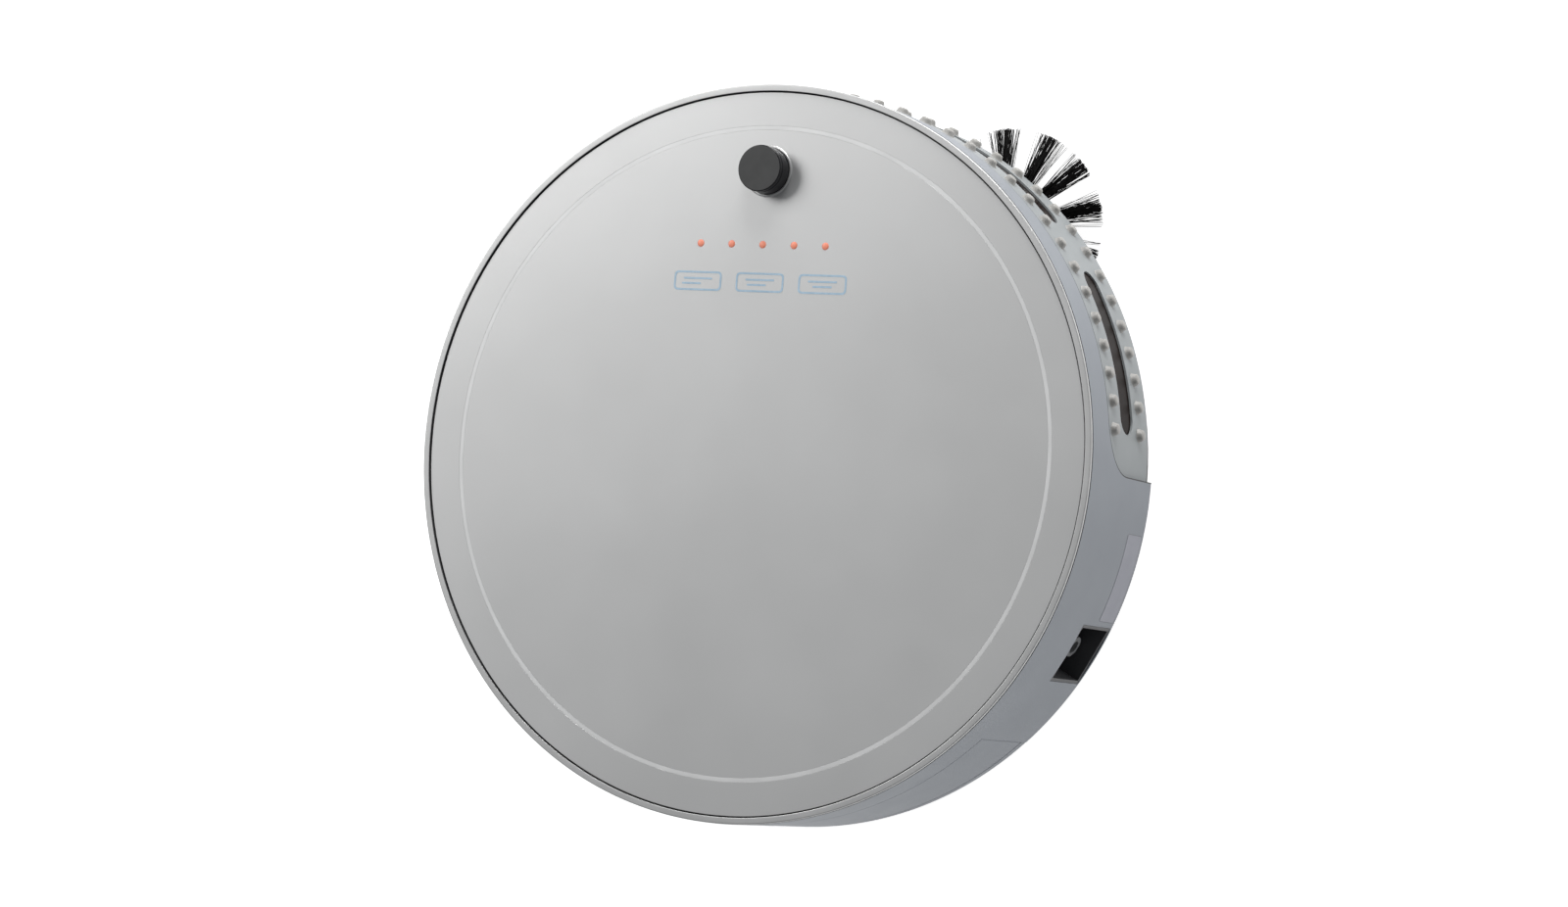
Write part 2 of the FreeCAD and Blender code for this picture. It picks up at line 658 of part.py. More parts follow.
def upper_housing():
    owner = turned("upper_housing", [
        ("housing_inner", "wall_bottom"), ("body_radius", "wall_bottom"), ("body_radius", "top_height"),
        ("housing_inner", "top_height"), ("housing_inner", "plate_bottom"),
        ("housing_inner - ledge_width", "plate_bottom"),
        ("housing_inner - ledge_width", "plate_bottom - ledge_thickness"),
        ("housing_inner", "plate_bottom - ledge_thickness"), ("housing_inner", "deck_top"),
        ("0", "deck_top"), ("0", "deck_height"), ("housing_inner", "deck_height")])
    rim = number("body_radius")
    top = number("top_height")
    shaped(owner, "Fillet", "shell / 3", lambda edge: ring_at(edge, rim, top))
    front = sketch(owner, "YZ_Plane")
    back = "bumper_gap - 0.1"
    outline(front, [(back, "0"), ("body_radius + 5", "0"), ("body_radius + 5", "band_bottom"),
                    ("%s + seam_corner" % back, "band_bottom"),
                    (back, "band_bottom - seam_corner", "%s + seam_corner" % back,
                     "band_bottom - seam_corner", 1)])
    through(owner, front)
    relief = sketch(owner, "XY_Plane", "wall_bottom - 1")
    reach = "bumper_radius + 0.5"
    low = "-bumper_travel - bumper_gap - 0.1"
    edge = "sqrt((%s)^2 - (%s)^2)" % (reach, low)
    outline(relief, [("-(%s)" % edge, low, "0", "0", 1), (edge, low), (reach, "0", "0", "0", 1),
                     ("-(%s)" % reach, "0", "0", "0", 1)])
    pocket(owner, relief, "band_bottom - wall_bottom + 1", forward=True)
    bin_bay = sketch(owner, "XZ_Plane")
    rectangle(bin_bay, "-cover_half_width - cover_gap", "cover_half_width + cover_gap",
              "wall_bottom - 1", "cover_top + cover_gap")
    pocket(owner, bin_bay, forward=True)
    port = sketch(owner, "XZ_Plane", facing="port_azimuth")
    rectangle(port, "-port_half_width - slip / 2", "port_half_width + slip / 2",
              "port_low - slip / 2", "port_high + slip / 2")
    pocket(owner, port, forward=True)
    vent = sketch(owner, "YZ_Plane")
    rectangle(vent, "-duct_y - duct_width / 2", "-duct_y + duct_width / 2", "duct_low", "duct_high")
    pocket(owner, vent)
    posts = sketch(owner, "XY_Plane", "deck_top")
    for x, y in POST_PLACES:
        circle(posts, x, y, "post_radius")
    pad(owner, posts, "post_height")


def post_places(length, depth, middle):
    """The four corners of a board, inset by one post."""
    return [("%s * (%s / 2 - post_radius - 1)" % (side, length),
             "%s + %s * (%s / 2 - post_radius - 1)" % (middle, end, depth))
            for side in ("1", "-1") for end in ("1", "-1")]


POST_PLACES = post_places("main_board_length", "main_board_depth", "main_board_y")
KEYS = [-1, 0, 1]


def key_marks(drawing, key):
    """One generic key mark: a frame round two bars of different lengths."""
    middle = "%d * key_spacing" % key
    for inset in ("0", "key_line"):
        half_width = "(key_width / 2 - %s)" % inset
        half_height = "(key_height / 2 - %s)" % inset
        rectangle(drawing, "%s - %s" % (middle, half_width), "%s + %s" % (middle, half_width),
                  "key_y - %s" % half_height, "key_y + %s" % half_height)
    for lift, share in (("0.6", "0.3"), ("-2 * key_line", "0.2")):
        low = "key_y + key_line * %s" % lift
        rectangle(drawing, "%s - key_width * %s" % (middle, share), "%s + key_width * %s" % (middle, share),
                  low, "%s + key_line" % low)


def light_row(drawing, radius):
    for step in range(-2, 3):
        circle(drawing, "%d * light_spacing" % step, "light_y", radius)


def top_plate():
    owner = body("top_plate")
    disc = sketch(owner, "XY_Plane", "plate_bottom")
    circle(disc, "0", "0", "plate_radius")
    pad(owner, disc, "plate_thickness")
    feet = sketch(owner, "XY_Plane", "plate_bottom")
    for x, y in post_places("display_length", "display_depth", "light_y - 8"):
        circle(feet, x, y, "post_radius")
    pad(owner, feet, "1", back=True)
    holes = sketch(owner, "XY_Plane", "plate_top + 1")
    circle(holes, "0", "turret_y", "turret_radius + slip")
    light_row(holes, "light_radius + slip / 2")
    pocket(owner, holes, "plate_thickness + 2")
    inlay = sketch(owner, "XY_Plane", "plate_top + 1")
    circle(inlay, "0", "0", "decor_radius + decor_width / 2")
    circle(inlay, "0", "0", "decor_radius - decor_width / 2")
    pocket(owner, inlay, "1 + inlay_depth")
    marks = sketch(owner, "XY_Plane", "plate_top + 1")
    for key in KEYS:
        key_marks(marks, key)
    pocket(owner, marks, "1 + inlay_depth")


def top_details():
    node(cut(rod("seal_outer", "plate_bottom", "plate_top - 0.4"),
             rod("seal_outer - seal_width", "plate_bottom - 1", "plate_top + 1")), "rim_seal")
    node(cut(rod("decor_radius + decor_width / 2", "plate_top - inlay_depth", "plate_top"),
             rod("decor_radius - decor_width / 2", "plate_top - 2", "plate_top + 1")), "decor_ring")
    lights = body("status_lights")
    dots = sketch(lights, "XY_Plane", "display_top")
    light_row(dots, "light_radius")
    pad(lights, dots, "plate_top + 0.05 - display_top")
    keys = body("touch_keys")
    marks = sketch(keys, "XY_Plane", "plate_top - inlay_depth")
    for key in KEYS:
        key_marks(marks, key)
    pad(keys, marks, "inlay_depth")
    node(block("-display_length / 2", "display_length / 2", "light_y - 8 - display_depth / 2",
               "light_y - 8 + display_depth / 2", "display_top - board_thickness", "display_top"),
         "display_board")


def turret():
    top = "plate_top + turret_rise"
    under = "plate_bottom - 0.1"
    inner = "turret_radius - turret_wall"
    ring = cut(rod("turret_radius + turret_ring_width", "plate_top", "plate_top + 0.7", y="turret_y"),
               rod("turret_radius + slip / 2", "plate_top - 1", "plate_top + 2", y="turret_y"))
    node(ring, "turret_base_ring")
    lens = turned("turret_lens", [
        ("turret_radius", under), ("turret_radius", "%s - turret_cap_thickness" % top),
        (inner, "%s - turret_cap_thickness" % top), (inner, "%s - 2" % under),
        ("turret_radius + 2", "%s - 2" % under), ("turret_radius + 2", under)])
    place(lens, y="turret_y")
    cap = turned("turret_cap", [
        ("0", "%s - turret_cap_thickness" % top), ("turret_radius", "%s - turret_cap_thickness" % top),
        ("turret_radius", "%s - 0.5" % top), ("turret_radius - 0.5", top), ("0", top)])
    place(cap, y="turret_y")
    receiver = turned("ir_receiver", [
        ("0", "deck_top"), ("6", "deck_top"), ("6", "deck_top + 2"), ("3.5", "deck_top + 2"),
        ("3.5", "plate_top + 1"), ("0", "plate_top + 5")])
    place(receiver, y="turret_y")


def main_board():
    low = "main_board_low"
    high = "main_board_low + board_thickness"
    parts = [block("-main_board_length / 2", "main_board_length / 2", "main_board_y - main_board_depth / 2",
                   "main_board_y + main_board_depth / 2", low, high)]
    for x, y, wide, deep, tall in ((-20, 10, 16, 16, 1.6), (22, 22, 10, 12, 1.4), (40, -8, 20, 9, 4.5),
                                   (-50, 26, 8, 14, 5), (28, 36, 18, 6, 5)):
        parts.append(block(str(x), str(x + wide), str(y), str(y + deep),
                           "%s - 0.2" % high, "%s + %s" % (high, tall)))
    for x, y in ((-48, -12), (-36, -12), (8, -14)):
        parts.append(rod("3.2", "%s - 0.2" % high, "%s + 5" % high, str(x), str(y)))
    holes = [rod("screw_radius + slip / 2", "%s - 1" % low, "%s + 1" % high, x, y) for x, y in POST_PLACES]
    node(cut(union(*parts), *holes), "main_board")
    screws = [union(rod("screw_head_radius", high, "%s + screw_head" % high, x, y),
                    rod("screw_radius", low, high, x, y)) for x, y in POST_PLACES]
    node(group(*screws), "board_screws")


# ---- battery and side port ---------------------------------------------------------------------

def battery():
    low = "underside + door_thickness + slip"
    pack = body("battery_pack")
    base = sketch(pack, "XY_Plane", low)
    rectangle(base, "-battery_half_width", "battery_half_width", "battery_back", "battery_front")
    pad(pack, base, "battery_height")
    shaped(pack, "Fillet", "4", lambda edge: abs(edge.BoundBox.YLength - edge.Length) < 0.01)
    edge = "bay_side + door_margin - slip"
    node(block("-(%s)" % edge, edge, "bay_back - door_margin + slip", "bay_front + door_margin - slip",
               "underside", "underside + door_thickness"), "battery_door")


def side_port():
    bezel = body("port_bezel")
    frame = sketch(bezel, "YZ_Plane", "port_back")
    rectangle(frame, "-port_half_width", "port_half_width", "port_low", "port_high")
    pad(bezel, frame, "port_depth")
    recess = sketch(bezel, "YZ_Plane", "port_face")
    rectangle(recess, "-port_half_width + port_wall", "port_half_width - port_wall",
              "port_low + port_wall", "port_high - port_wall")
    pocket(bezel, recess, "port_depth - port_wall")
    holes = sketch(bezel, "YZ_Plane", "port_face")
    circle(holes, "0", "jack_z", "jack_radius + slip / 2")
    rectangle(holes, "-rocker_half_width - slip", "rocker_half_width + slip",
              "rocker_z - rocker_half_height - 0.8", "rocker_z + rocker_half_height + 0.8")
    pocket(bezel, holes)
    place(bezel, turn="port_azimuth")
    end = "port_back + jack_reach"
    jack = cut(rod("jack_radius", "port_back - 8", end, z="jack_z", along="X"),
               rod("jack_bore_radius", "port_back - 6", end + " + 1", z="jack_z", along="X"))
    pin = rod("jack_pin_radius", "port_back - 6.5", end + " - 1", z="jack_z", along="X")
    plug = node(union(jack, pin), "charge_jack")
    place(plug, turn="port_azimuth")
    rocker = body("power_switch")
    side = sketch(rocker, "XZ_Plane", "-rocker_half_width")
    outline(side, [("-2.2", "-rocker_half_height + 0.6"), ("2", "-rocker_half_height"), ("1.4", "0"),
                   ("2", "rocker_half_height"), ("-2.2", "rocker_half_height - 0.6")])
    pad(rocker, side, "2 * rocker_half_width")
    rocker.Placement = FreeCAD.Placement(
        FreeCAD.Vector(number("rocker_pivot * cos(port_azimuth)"), number("rocker_pivot * sin(port_azimuth)"),
                       number("rocker_z")),
        FreeCAD.Rotation(FreeCAD.Vector(0, 0, 1), number("port_azimuth"))
        * FreeCAD.Rotation(FreeCAD.Vector(0, 1, 0), -number("rocker_tilt")))


def label_plate():
    sheets = [rod("body_radius + label_thickness", "label_low", "label_high"),
              rod("body_radius", "label_low - 1", "label_high + 1")]
    for sheet_rod in sheets:
        bind(sheet_rod, Angle="label_span")
        place(sheet_rod, z="label_low" if sheet_rod is sheets[0] else "label_low - 1", turn="label_azimuth")
    node(cut(*sheets), "label_plate")


# ---- bumper ------------------------------------------------------------------------------------

WINDOW_AZIMUTHS = ["window_side_azimuth", "window_front_azimuth",
                   "180 - window_front_azimuth", "180 - window_side_azimuth"]


def standing(radius, depth, width, middle, height, azimuth):
    """A block whose inner face stands at a radius and looks outwards at an azimuth."""
    low = "%s - %s / 2" % (middle, height)
    solid = block(radius, "%s + %s" % (radius, depth), "0", width, low, "%s + %s / 2" % (middle, height))
    return place(solid, "(%s) * cos(%s) + %s / 2 * sin(%s)" % (radius, azimuth, width, azimuth),
                 "(%s) * sin(%s) - %s / 2 * cos(%s)" % (radius, azimuth, width, azimuth), low, turn=azimuth)


def window_slots(height_margin, radius_low, radius_high):
    """Stadium-shaped prisms that point outwards, one for each sensor window."""
    slots = []
    half_height = "(window_height / 2 - %s)" % height_margin
    half_width = "(body_radius * sin(window_span / 2) - %s)" % height_margin
    for azimuth in WINDOW_AZIMUTHS:
        middle = "window_z"
        plate = block(radius_low, radius_high, "-%s + %s" % (half_width, half_height),
                      "%s - %s" % (half_width, half_height), "%s - %s" % (middle, half_height),
                      "%s + %s" % (middle, half_height))
        ends = [rod(half_height, radius_low, radius_high, z=middle, along="X",
                    y="%s * (%s - %s)" % (side, half_width, half_height)) for side in ("1", "-1")]
        slots.append(place(union(plate, *ends), turn=azimuth))
    return slots


def bumper():
    shell = body("bumper_blank")
    NODES.remove(shell)
    profile = sketch(shell, "XZ_Plane")
    outline(profile, [("bumper_inner", "bumper_bottom"), ("bumper_radius", "bumper_bottom"),
                      ("bumper_radius", "bumper_top"), ("bumper_inner", "bumper_top")])
    revolve(shell, profile, "360")
    ends = sketch(shell, "YZ_Plane")
    rear = "-bumper_radius - 5"
    end = "bumper_gap - bumper_forward"
    corner = "%s + seam_corner" % end
    outline(ends, [(rear, "0"), (end, "0"), (end, "bumper_top - seam_corner"),
                   (corner, "bumper_top", corner, "bumper_top - seam_corner", -1),
                   (corner, "bumper_top + 5"), (rear, "bumper_top + 5")])
    through(shell, ends)
    skirt = node(cut(shell, *window_slots("0", "bumper_inner - 8", "bumper_radius + 8")), "bumper_shell")
    place(skirt, y="bumper_forward")
    skin = cut(rod("bumper_radius - 0.7", "window_z - window_height", "window_z + window_height"),
               rod("bumper_radius - 0.7 - window_thickness", "0", "top_height"))
    panes = [common(skin, slot) for slot in window_slots("slip", "bumper_inner - 8", "bumper_radius + 8")]
    place(node(group(*panes), "sensor_windows"), y="bumper_forward")
    sensors = [standing("bumper_inner - slip - sensor_depth", "sensor_depth", "sensor_size", "window_z",
                        "sensor_size", azimuth) for azimuth in WINDOW_AZIMUTHS]
    place(node(group(*sensors), "obstacle_sensors"), y="bumper_forward")


def bumper_nubs():
    """Domed rubber studs in two rows; each is a sphere's cap on the bumper's face."""
    rise = number("nub_rise")
    foot = number("nub_radius")
    ball = (foot ** 2 + rise ** 2) / (2 * rise)
    lowest = math.degrees(math.asin((ball - rise) / ball))
    count = int(number("nub_count"))
    first = number("nub_azimuth")
    studs = []
    for height in (number("nub_lower"), number("nub_upper")):
        for i in range(count):
            azimuth = math.radians(first + i * (180 - 2 * first) / (count - 1))
            outwards = FreeCAD.Vector(math.cos(azimuth), math.sin(azimuth), 0)
            middle = outwards * (number("bumper_radius") + rise - ball) + FreeCAD.Vector(0, 0, height)
            studs.append(Part.makeSphere(ball, middle, outwards, lowest, 90, 360))
    nubs = doc.addObject("Part::Feature", "Nubs")
    nubs.Shape = Part.makeCompound(studs)
    place(node(nubs, "bumper_nubs"), y="bumper_forward")


def collision_switches():
    switches = [standing("front_wall_radius + 0.1", "4", "switch_width", "switch_z", "switch_height", azimuth)
                for azimuth in ("switch_azimuth", "180 - switch_azimuth")]
    node(group(*switches), "collision_switches")


# ---- drive units -------------------------------------------------------------------------------

def wheel_well(side, name):
    owner = body("wheel_well_" + name)
    shell = sketch(owner, "XY_Plane", "floor_top")
    rectangle(shell, *ordered(side, "well_inner_face - well_wall", "well_outer_face + well_wall"),
              "-well_back", "well_front")
    pad(owner, shell, "well_top - floor_top")
    inside = sketch(owner, "XY_Plane", "floor_top - 1")
    rectangle(inside, *ordered(side, "well_inner_face", "well_outer_face"),
              "-well_back + well_wall", "well_front - well_wall")
    pocket(owner, inside, "well_top - well_wall - floor_top + 1", forward=True)
    start = ordered(side, "arm_outer + side_gap / 2", "arm_outer + side_gap / 2 + well_wall")[0]
    ear = sketch(owner, "YZ_Plane", start)
    rectangle(ear, "pivot_y - 7", "well_front - well_wall", "pivot_z - 8", "well_top - well_wall")
    pad(owner, ear, "well_wall")
    low = ordered(side, "well_inner_face - well_wall - 1", "well_inner_face + 1")[0]
    notch = sketch(owner, "YZ_Plane", low)
    rectangle(notch, "motor_y - motor_radius - 2", "motor_y + motor_radius + 2", "floor_top - 1",
              "pivot_z + motor_radius + 2")
    pocket(owner, notch, "well_wall + 2", forward=True)
    pin_start, pin_end = "well_inner_face - 5", "arm_outer + side_gap + well_wall"
    pin = sketch(owner, "YZ_Plane", ordered(side, pin_start, pin_end)[0])
    circle(pin, "pivot_y", "pivot_z", "pivot_pin_radius")
    pocket(owner, pin, "%s - (%s)" % (pin_end, pin_start), forward=True)


def drive_unit(side, name):
    owner = body("drive_unit_" + name)
    low, high = ordered(side, "arm_inner", "arm_outer")
    profiles = [lambda s: circle(s, "0", "wheel_radius", "arm_wheel_radius"),
                lambda s: circle(s, "pivot_y", "pivot_z", "arm_pivot_radius"),
                lambda s: outline(s, [("0", "wheel_radius - arm_wheel_radius + 0.5"),
                                      ("pivot_y", "pivot_z - arm_pivot_radius + 0.2"),
                                      ("pivot_y", "pivot_z + arm_pivot_radius - 0.2"),
                                      ("0", "wheel_radius + arm_wheel_radius - 0.5")])]
    for draw in profiles:
        face = sketch(owner, "YZ_Plane", low)
        draw(face)
        pad(owner, face, "arm_thickness")
    motor_low = ordered(side, "arm_inner - motor_length", "arm_inner")[0]
    motor = sketch(owner, "YZ_Plane", motor_low)
    circle(motor, "motor_y", "pivot_z", "motor_radius")
    pad(owner, motor, "motor_length")
    axle_low = ordered(side, "arm_outer", "wheel_outer - 3.5")[0]
    axle = sketch(owner, "YZ_Plane", axle_low)
    circle(axle, "0", "wheel_radius", "wheel_axle_radius")
    pad(owner, axle, "wheel_outer - 3.5 - arm_outer")
    bore = sketch(owner, "YZ_Plane", low)
    circle(bore, "pivot_y", "pivot_z", "pivot_pin_radius + running")
    pocket(owner, bore, "arm_thickness", forward=True)


def wheel(side, name):
    start, end = ordered(side, "wheel_inner", "wheel_outer")
    disc = rod("hub_radius", start, end, z="wheel_radius", along="X")
    bore = rod("wheel_axle_radius + running", *ordered(side, "wheel_inner - 1", "wheel_outer - 3.3"),
               z="wheel_radius", along="X")
    outer_face = ordered(side, "wheel_outer - 2.5", "wheel_outer + 1")
    dish = cut(rod("hub_radius - 4", *outer_face, z="wheel_radius", along="X"),
               rod("hub_radius / 3", *outer_face, z="wheel_radius", along="X"))
    node(cut(disc, bore, dish), "wheel_hub_" + name)
    tyre = body("tyre_" + name)
    ring = sketch(tyre, "XY_Plane")
    circle(ring, "0", "0", "wheel_radius")
    circle(ring, "0", "0", "hub_radius")
    pad(tyre, ring, "wheel_width")
    groove = sketch(tyre, "XY_Plane")
    rectangle(groove, "wheel_radius - tread_depth", "wheel_radius + 2", "-tread_width / 2", "tread_width / 2")
    polar(tyre, pocket(tyre, groove, forward=True), "tread_count")
    # the tyre's own axis is turned to lie along X, with a tread block at the bottom
    tyre.Placement = FreeCAD.Placement(
        FreeCAD.Vector(number(start), 0, number("wheel_radius")),
        FreeCAD.Rotation(FreeCAD.Vector(0, 1, 0), 90)
        * FreeCAD.Rotation(FreeCAD.Vector(0, 0, 1), 180 / number("tread_count")))
    tyre.setExpression(".Placement.Base.x", sized(start))
    tyre.setExpression(".Placement.Base.z", sized("wheel_radius"))


def suspension_pins():
    pins = [rod("pivot_pin_radius", *ordered(side, "well_inner_face - well_wall",
                                             "arm_outer + side_gap / 2 + well_wall"),
                y="pivot_y", z="pivot_z", along="X") for side in (1, -1)]
    node(group(*pins), "suspension_pins")


# ---- caster ------------------------------------------------------------------------------------

def caster():
    stem_top = "fork_top + stem_length"
    socket = turned("caster_socket", [
        ("socket_bore", "underside"), ("socket_outer", "underside"), ("socket_outer", "socket_top + 2"),
        ("stem_radius + 4", "socket_top + 2"), ("stem_radius + 4", "%s + 0.5" % stem_top),
        ("stem_radius + running", "%s + 0.5" % stem_top), ("stem_radius + running", "socket_top"),
        ("socket_bore", "socket_top")])
    place(socket, y="caster_y")
    fork = turned("caster_fork", [
        ("0", "underside + 0.5"), ("fork_radius - 0.6", "underside + 0.5"),
        ("fork_radius", "underside + 1.1"), ("fork_radius", "fork_top"), ("stem_radius", "fork_top"),
        ("stem_radius", stem_top), ("0", stem_top)])
    slot = sketch(fork, "XY_Plane", "underside - 1")
    rectangle(slot, "-caster_width / 2 - 1", "caster_width / 2 + 1",
              "-caster_trail - caster_radius - 1.6", "-caster_trail + caster_radius + 1.6")
    pocket(fork, slot, "caster_radius * 2 + 1.5 - underside + 1", forward=True)
    hole = sketch(fork, "YZ_Plane")
    circle(hole, "-caster_trail", "caster_radius", "caster_axle_radius")
    through(fork, hole)
    place(fork, y="caster_y")
    half = "sqrt((fork_radius - 2)^2 - caster_trail^2)"
    middle = {"y": "caster_y - caster_trail", "z": "caster_radius", "along": "X"}
    node(rod("caster_axle_radius", "-(%s)" % half, half, **middle), "caster_axle")
    roller = rod("caster_radius", "-caster_width / 2", "caster_width / 2", **middle)
    bore = rod("caster_axle_radius + running", "-caster_width", "caster_width", **middle)
    node(cut(roller, bore), "caster_wheel")


# ---- side brush --------------------------------------------------------------------------------

def side_brush():
    hub = turned("side_brush_hub", [
        ("0", "side_hub_low"), ("side_hub_radius - 2", "side_hub_low"),
        ("side_hub_radius", "side_hub_low + 2"), ("side_hub_radius", "side_hub_top"),
        ("side_shaft_radius", "side_hub_top"), ("side_shaft_radius", "floor_top + 14"),
        ("0", "floor_top + 14")])
    place(hub, "side_x", "side_y")
    tufts = []
    count = int(number("tuft_count"))
    root = "(side_hub_radius - 1)"
    drop = "(side_hub_low + 2.4 - tuft_tip - 0.6)"
    for i in range(count):
        tuft = doc.addObject("Part::Cone", "Tuft")
        bind(tuft, Radius1="tuft_root", Radius2="tuft_tip", Height="side_brush_reach - %s" % root)
        azimuth = 12 + i * 360 / count
        slope = math.degrees(math.atan2(number(drop), number("side_brush_reach - %s" % root)))
        tuft.Placement = FreeCAD.Placement(
            FreeCAD.Vector(), FreeCAD.Rotation(FreeCAD.Vector(0, 0, 1), azimuth)
            * FreeCAD.Rotation(FreeCAD.Vector(0, 1, 0), 90 + slope))
        for axis, turn in (("x", "cos"), ("y", "sin")):
            tuft.setExpression(".Placement.Base." + axis,
                               sized("side_%s + %s * %s(%.4f)" % (axis, root, turn, azimuth)))
        tuft.setExpression(".Placement.Base.z", sized("side_hub_low + 2.4"))
        tufts.append(tuft)
    node(group(*tufts), "side_brush_bristles")
    case = body("side_brush_drive")
    inner = "side_brush_radius - side_motor_offset"
    for draw in (lambda s: circle(s, "side_brush_radius", "0", "side_gear_radius"),
                 lambda s: circle(s, inner, "0", "side_motor_radius"),
                 lambda s: outline(s, [(inner, "-side_motor_radius + 0.5"),
                                       ("side_brush_radius", "-side_gear_radius + 0.5"),
                                       ("side_brush_radius", "side_gear_radius - 0.5"),
                                       (inner, "side_motor_radius - 0.5")])):
        face = sketch(case, "XY_Plane", "floor_top")
        draw(face)
        pad(case, face, "side_gear_height")
    motor = sketch(case, "XY_Plane", "floor_top + side_gear_height")
    circle(motor, inner, "0", "side_motor_radius - 1")
    pad(case, motor, "side_motor_height")
    bore = sketch(case, "XY_Plane", "floor_top")
    circle(bore, "side_brush_radius", "0", "side_shaft_radius + running")
    pocket(case, bore, "14.5", forward=True)
    place(case, turn="side_brush_azimuth")


# ---- main brush --------------------------------------------------------------------------------

def brush_head():
    owner = body("brush_head_housing")
    middle = "-brush_y"
    arch = sketch(owner, "YZ_Plane", "-head_half_length")
    outline(arch, [("%s - head_radius" % middle, "head_bottom"), ("%s + head_radius" % middle, "head_bottom"),
                   ("%s + head_radius" % middle, "brush_z"),
                   ("%s - head_radius" % middle, "brush_z", middle, "brush_z", 1)])
    pad(owner, arch, "2 * head_half_length")
    flange = sketch(owner, "XY_Plane", "head_bottom")
    rectangle(flange, "-head_half_length", "head_half_length", "flange_back", "flange_front")
    pad(owner, flange, "flange_thickness")
    throat = sketch(owner, "XZ_Plane", "brush_y")
    rectangle(throat, "-throat_half_width - 2", "throat_half_width + 2", "throat_low - 2", "throat_high + 2")
    pad(owner, throat, "-throat_back - brush_y")
    tunnel = sketch(owner, "YZ_Plane", "-head_half_length + head_wall")
    outline(tunnel, [("%s - tunnel_radius" % middle, "0"), ("%s + tunnel_radius" % middle, "0"),
                     ("%s + tunnel_radius" % middle, "brush_z"),
                     ("%s - tunnel_radius" % middle, "brush_z", middle, "brush_z", 1)])
    pocket(owner, tunnel, "2 * (head_half_length - head_wall)", forward=True)
    mouth = sketch(owner, "XZ_Plane", "brush_y")
    rectangle(mouth, "-throat_half_width", "throat_half_width", "throat_low", "throat_high")
    pocket(owner, mouth, forward=True)
    bores = sketch(owner, "YZ_Plane")
    circle(bores, middle, "brush_z", "brush_journal_radius + running")
    through(owner, bores)
    guard = body("brush_guard")
    frame = sketch(guard, "XY_Plane", "underside - guard_drop")
    rectangle(frame, "-head_half_length", "head_half_length", "flange_back", "flange_front")
    rectangle(frame, "-head_half_length + guard_border", "head_half_length - guard_border",
              "%s - tunnel_radius + 1" % middle, "%s + tunnel_radius - 1" % middle)
    pad(guard, frame, "guard_thickness")


def main_brush():
    axis = {"y": "-brush_y", "z": "brush_z", "along": "X"}
    core = union(rod("brush_core_radius", "-brush_half_length", "brush_half_length", **axis),
                 rod("brush_journal_radius", "-head_half_length", "head_half_length + 4", **axis))
    node(core, "main_brush_core")
    rows = []
    count = int(number("bristle_rows"))
    reach = "(brush_core_radius - 0.3)"
    for i in range(count):
        angle = "%s" % (i * 360 / count)
        row = block("-brush_half_length + 1", "brush_half_length - 1", "0", "brush_radius - %s" % reach,
                    "0", "bristle_thickness")
        across = "(%s * cos(%s) + bristle_thickness / 2 * sin(%s))" % (reach, angle, angle)
        up = "(%s * sin(%s) - bristle_thickness / 2 * cos(%s))" % (reach, angle, angle)
        rows.append(place(row, "-brush_half_length + 1", "-brush_y + %s" % across, "brush_z + %s" % up,
                          (1, 0, 0), angle))
    node(group(*rows), "main_brush_bristles")
    case = block("head_half_length + 0.5", "head_half_length + 0.5 + brush_gear_width", "-brush_y - 23",
                 "-brush_y + 5", "floor_top", "brush_z + 24")
    motor = rod("brush_motor_radius", "head_half_length + 0.5 + brush_gear_width",
                "head_half_length + 0.5 + brush_gear_width + brush_motor_length",
                y="-brush_y - 10", z="brush_z + 11", along="X")
    bore = rod("brush_journal_radius + running", "head_half_length", "head_half_length + 4.5", y="-brush_y",
               z="brush_z", along="X")
    node(cut(union(case, motor), bore), "brush_drive")


# ---- fan and exhaust ---------------------------------------------------------------------------

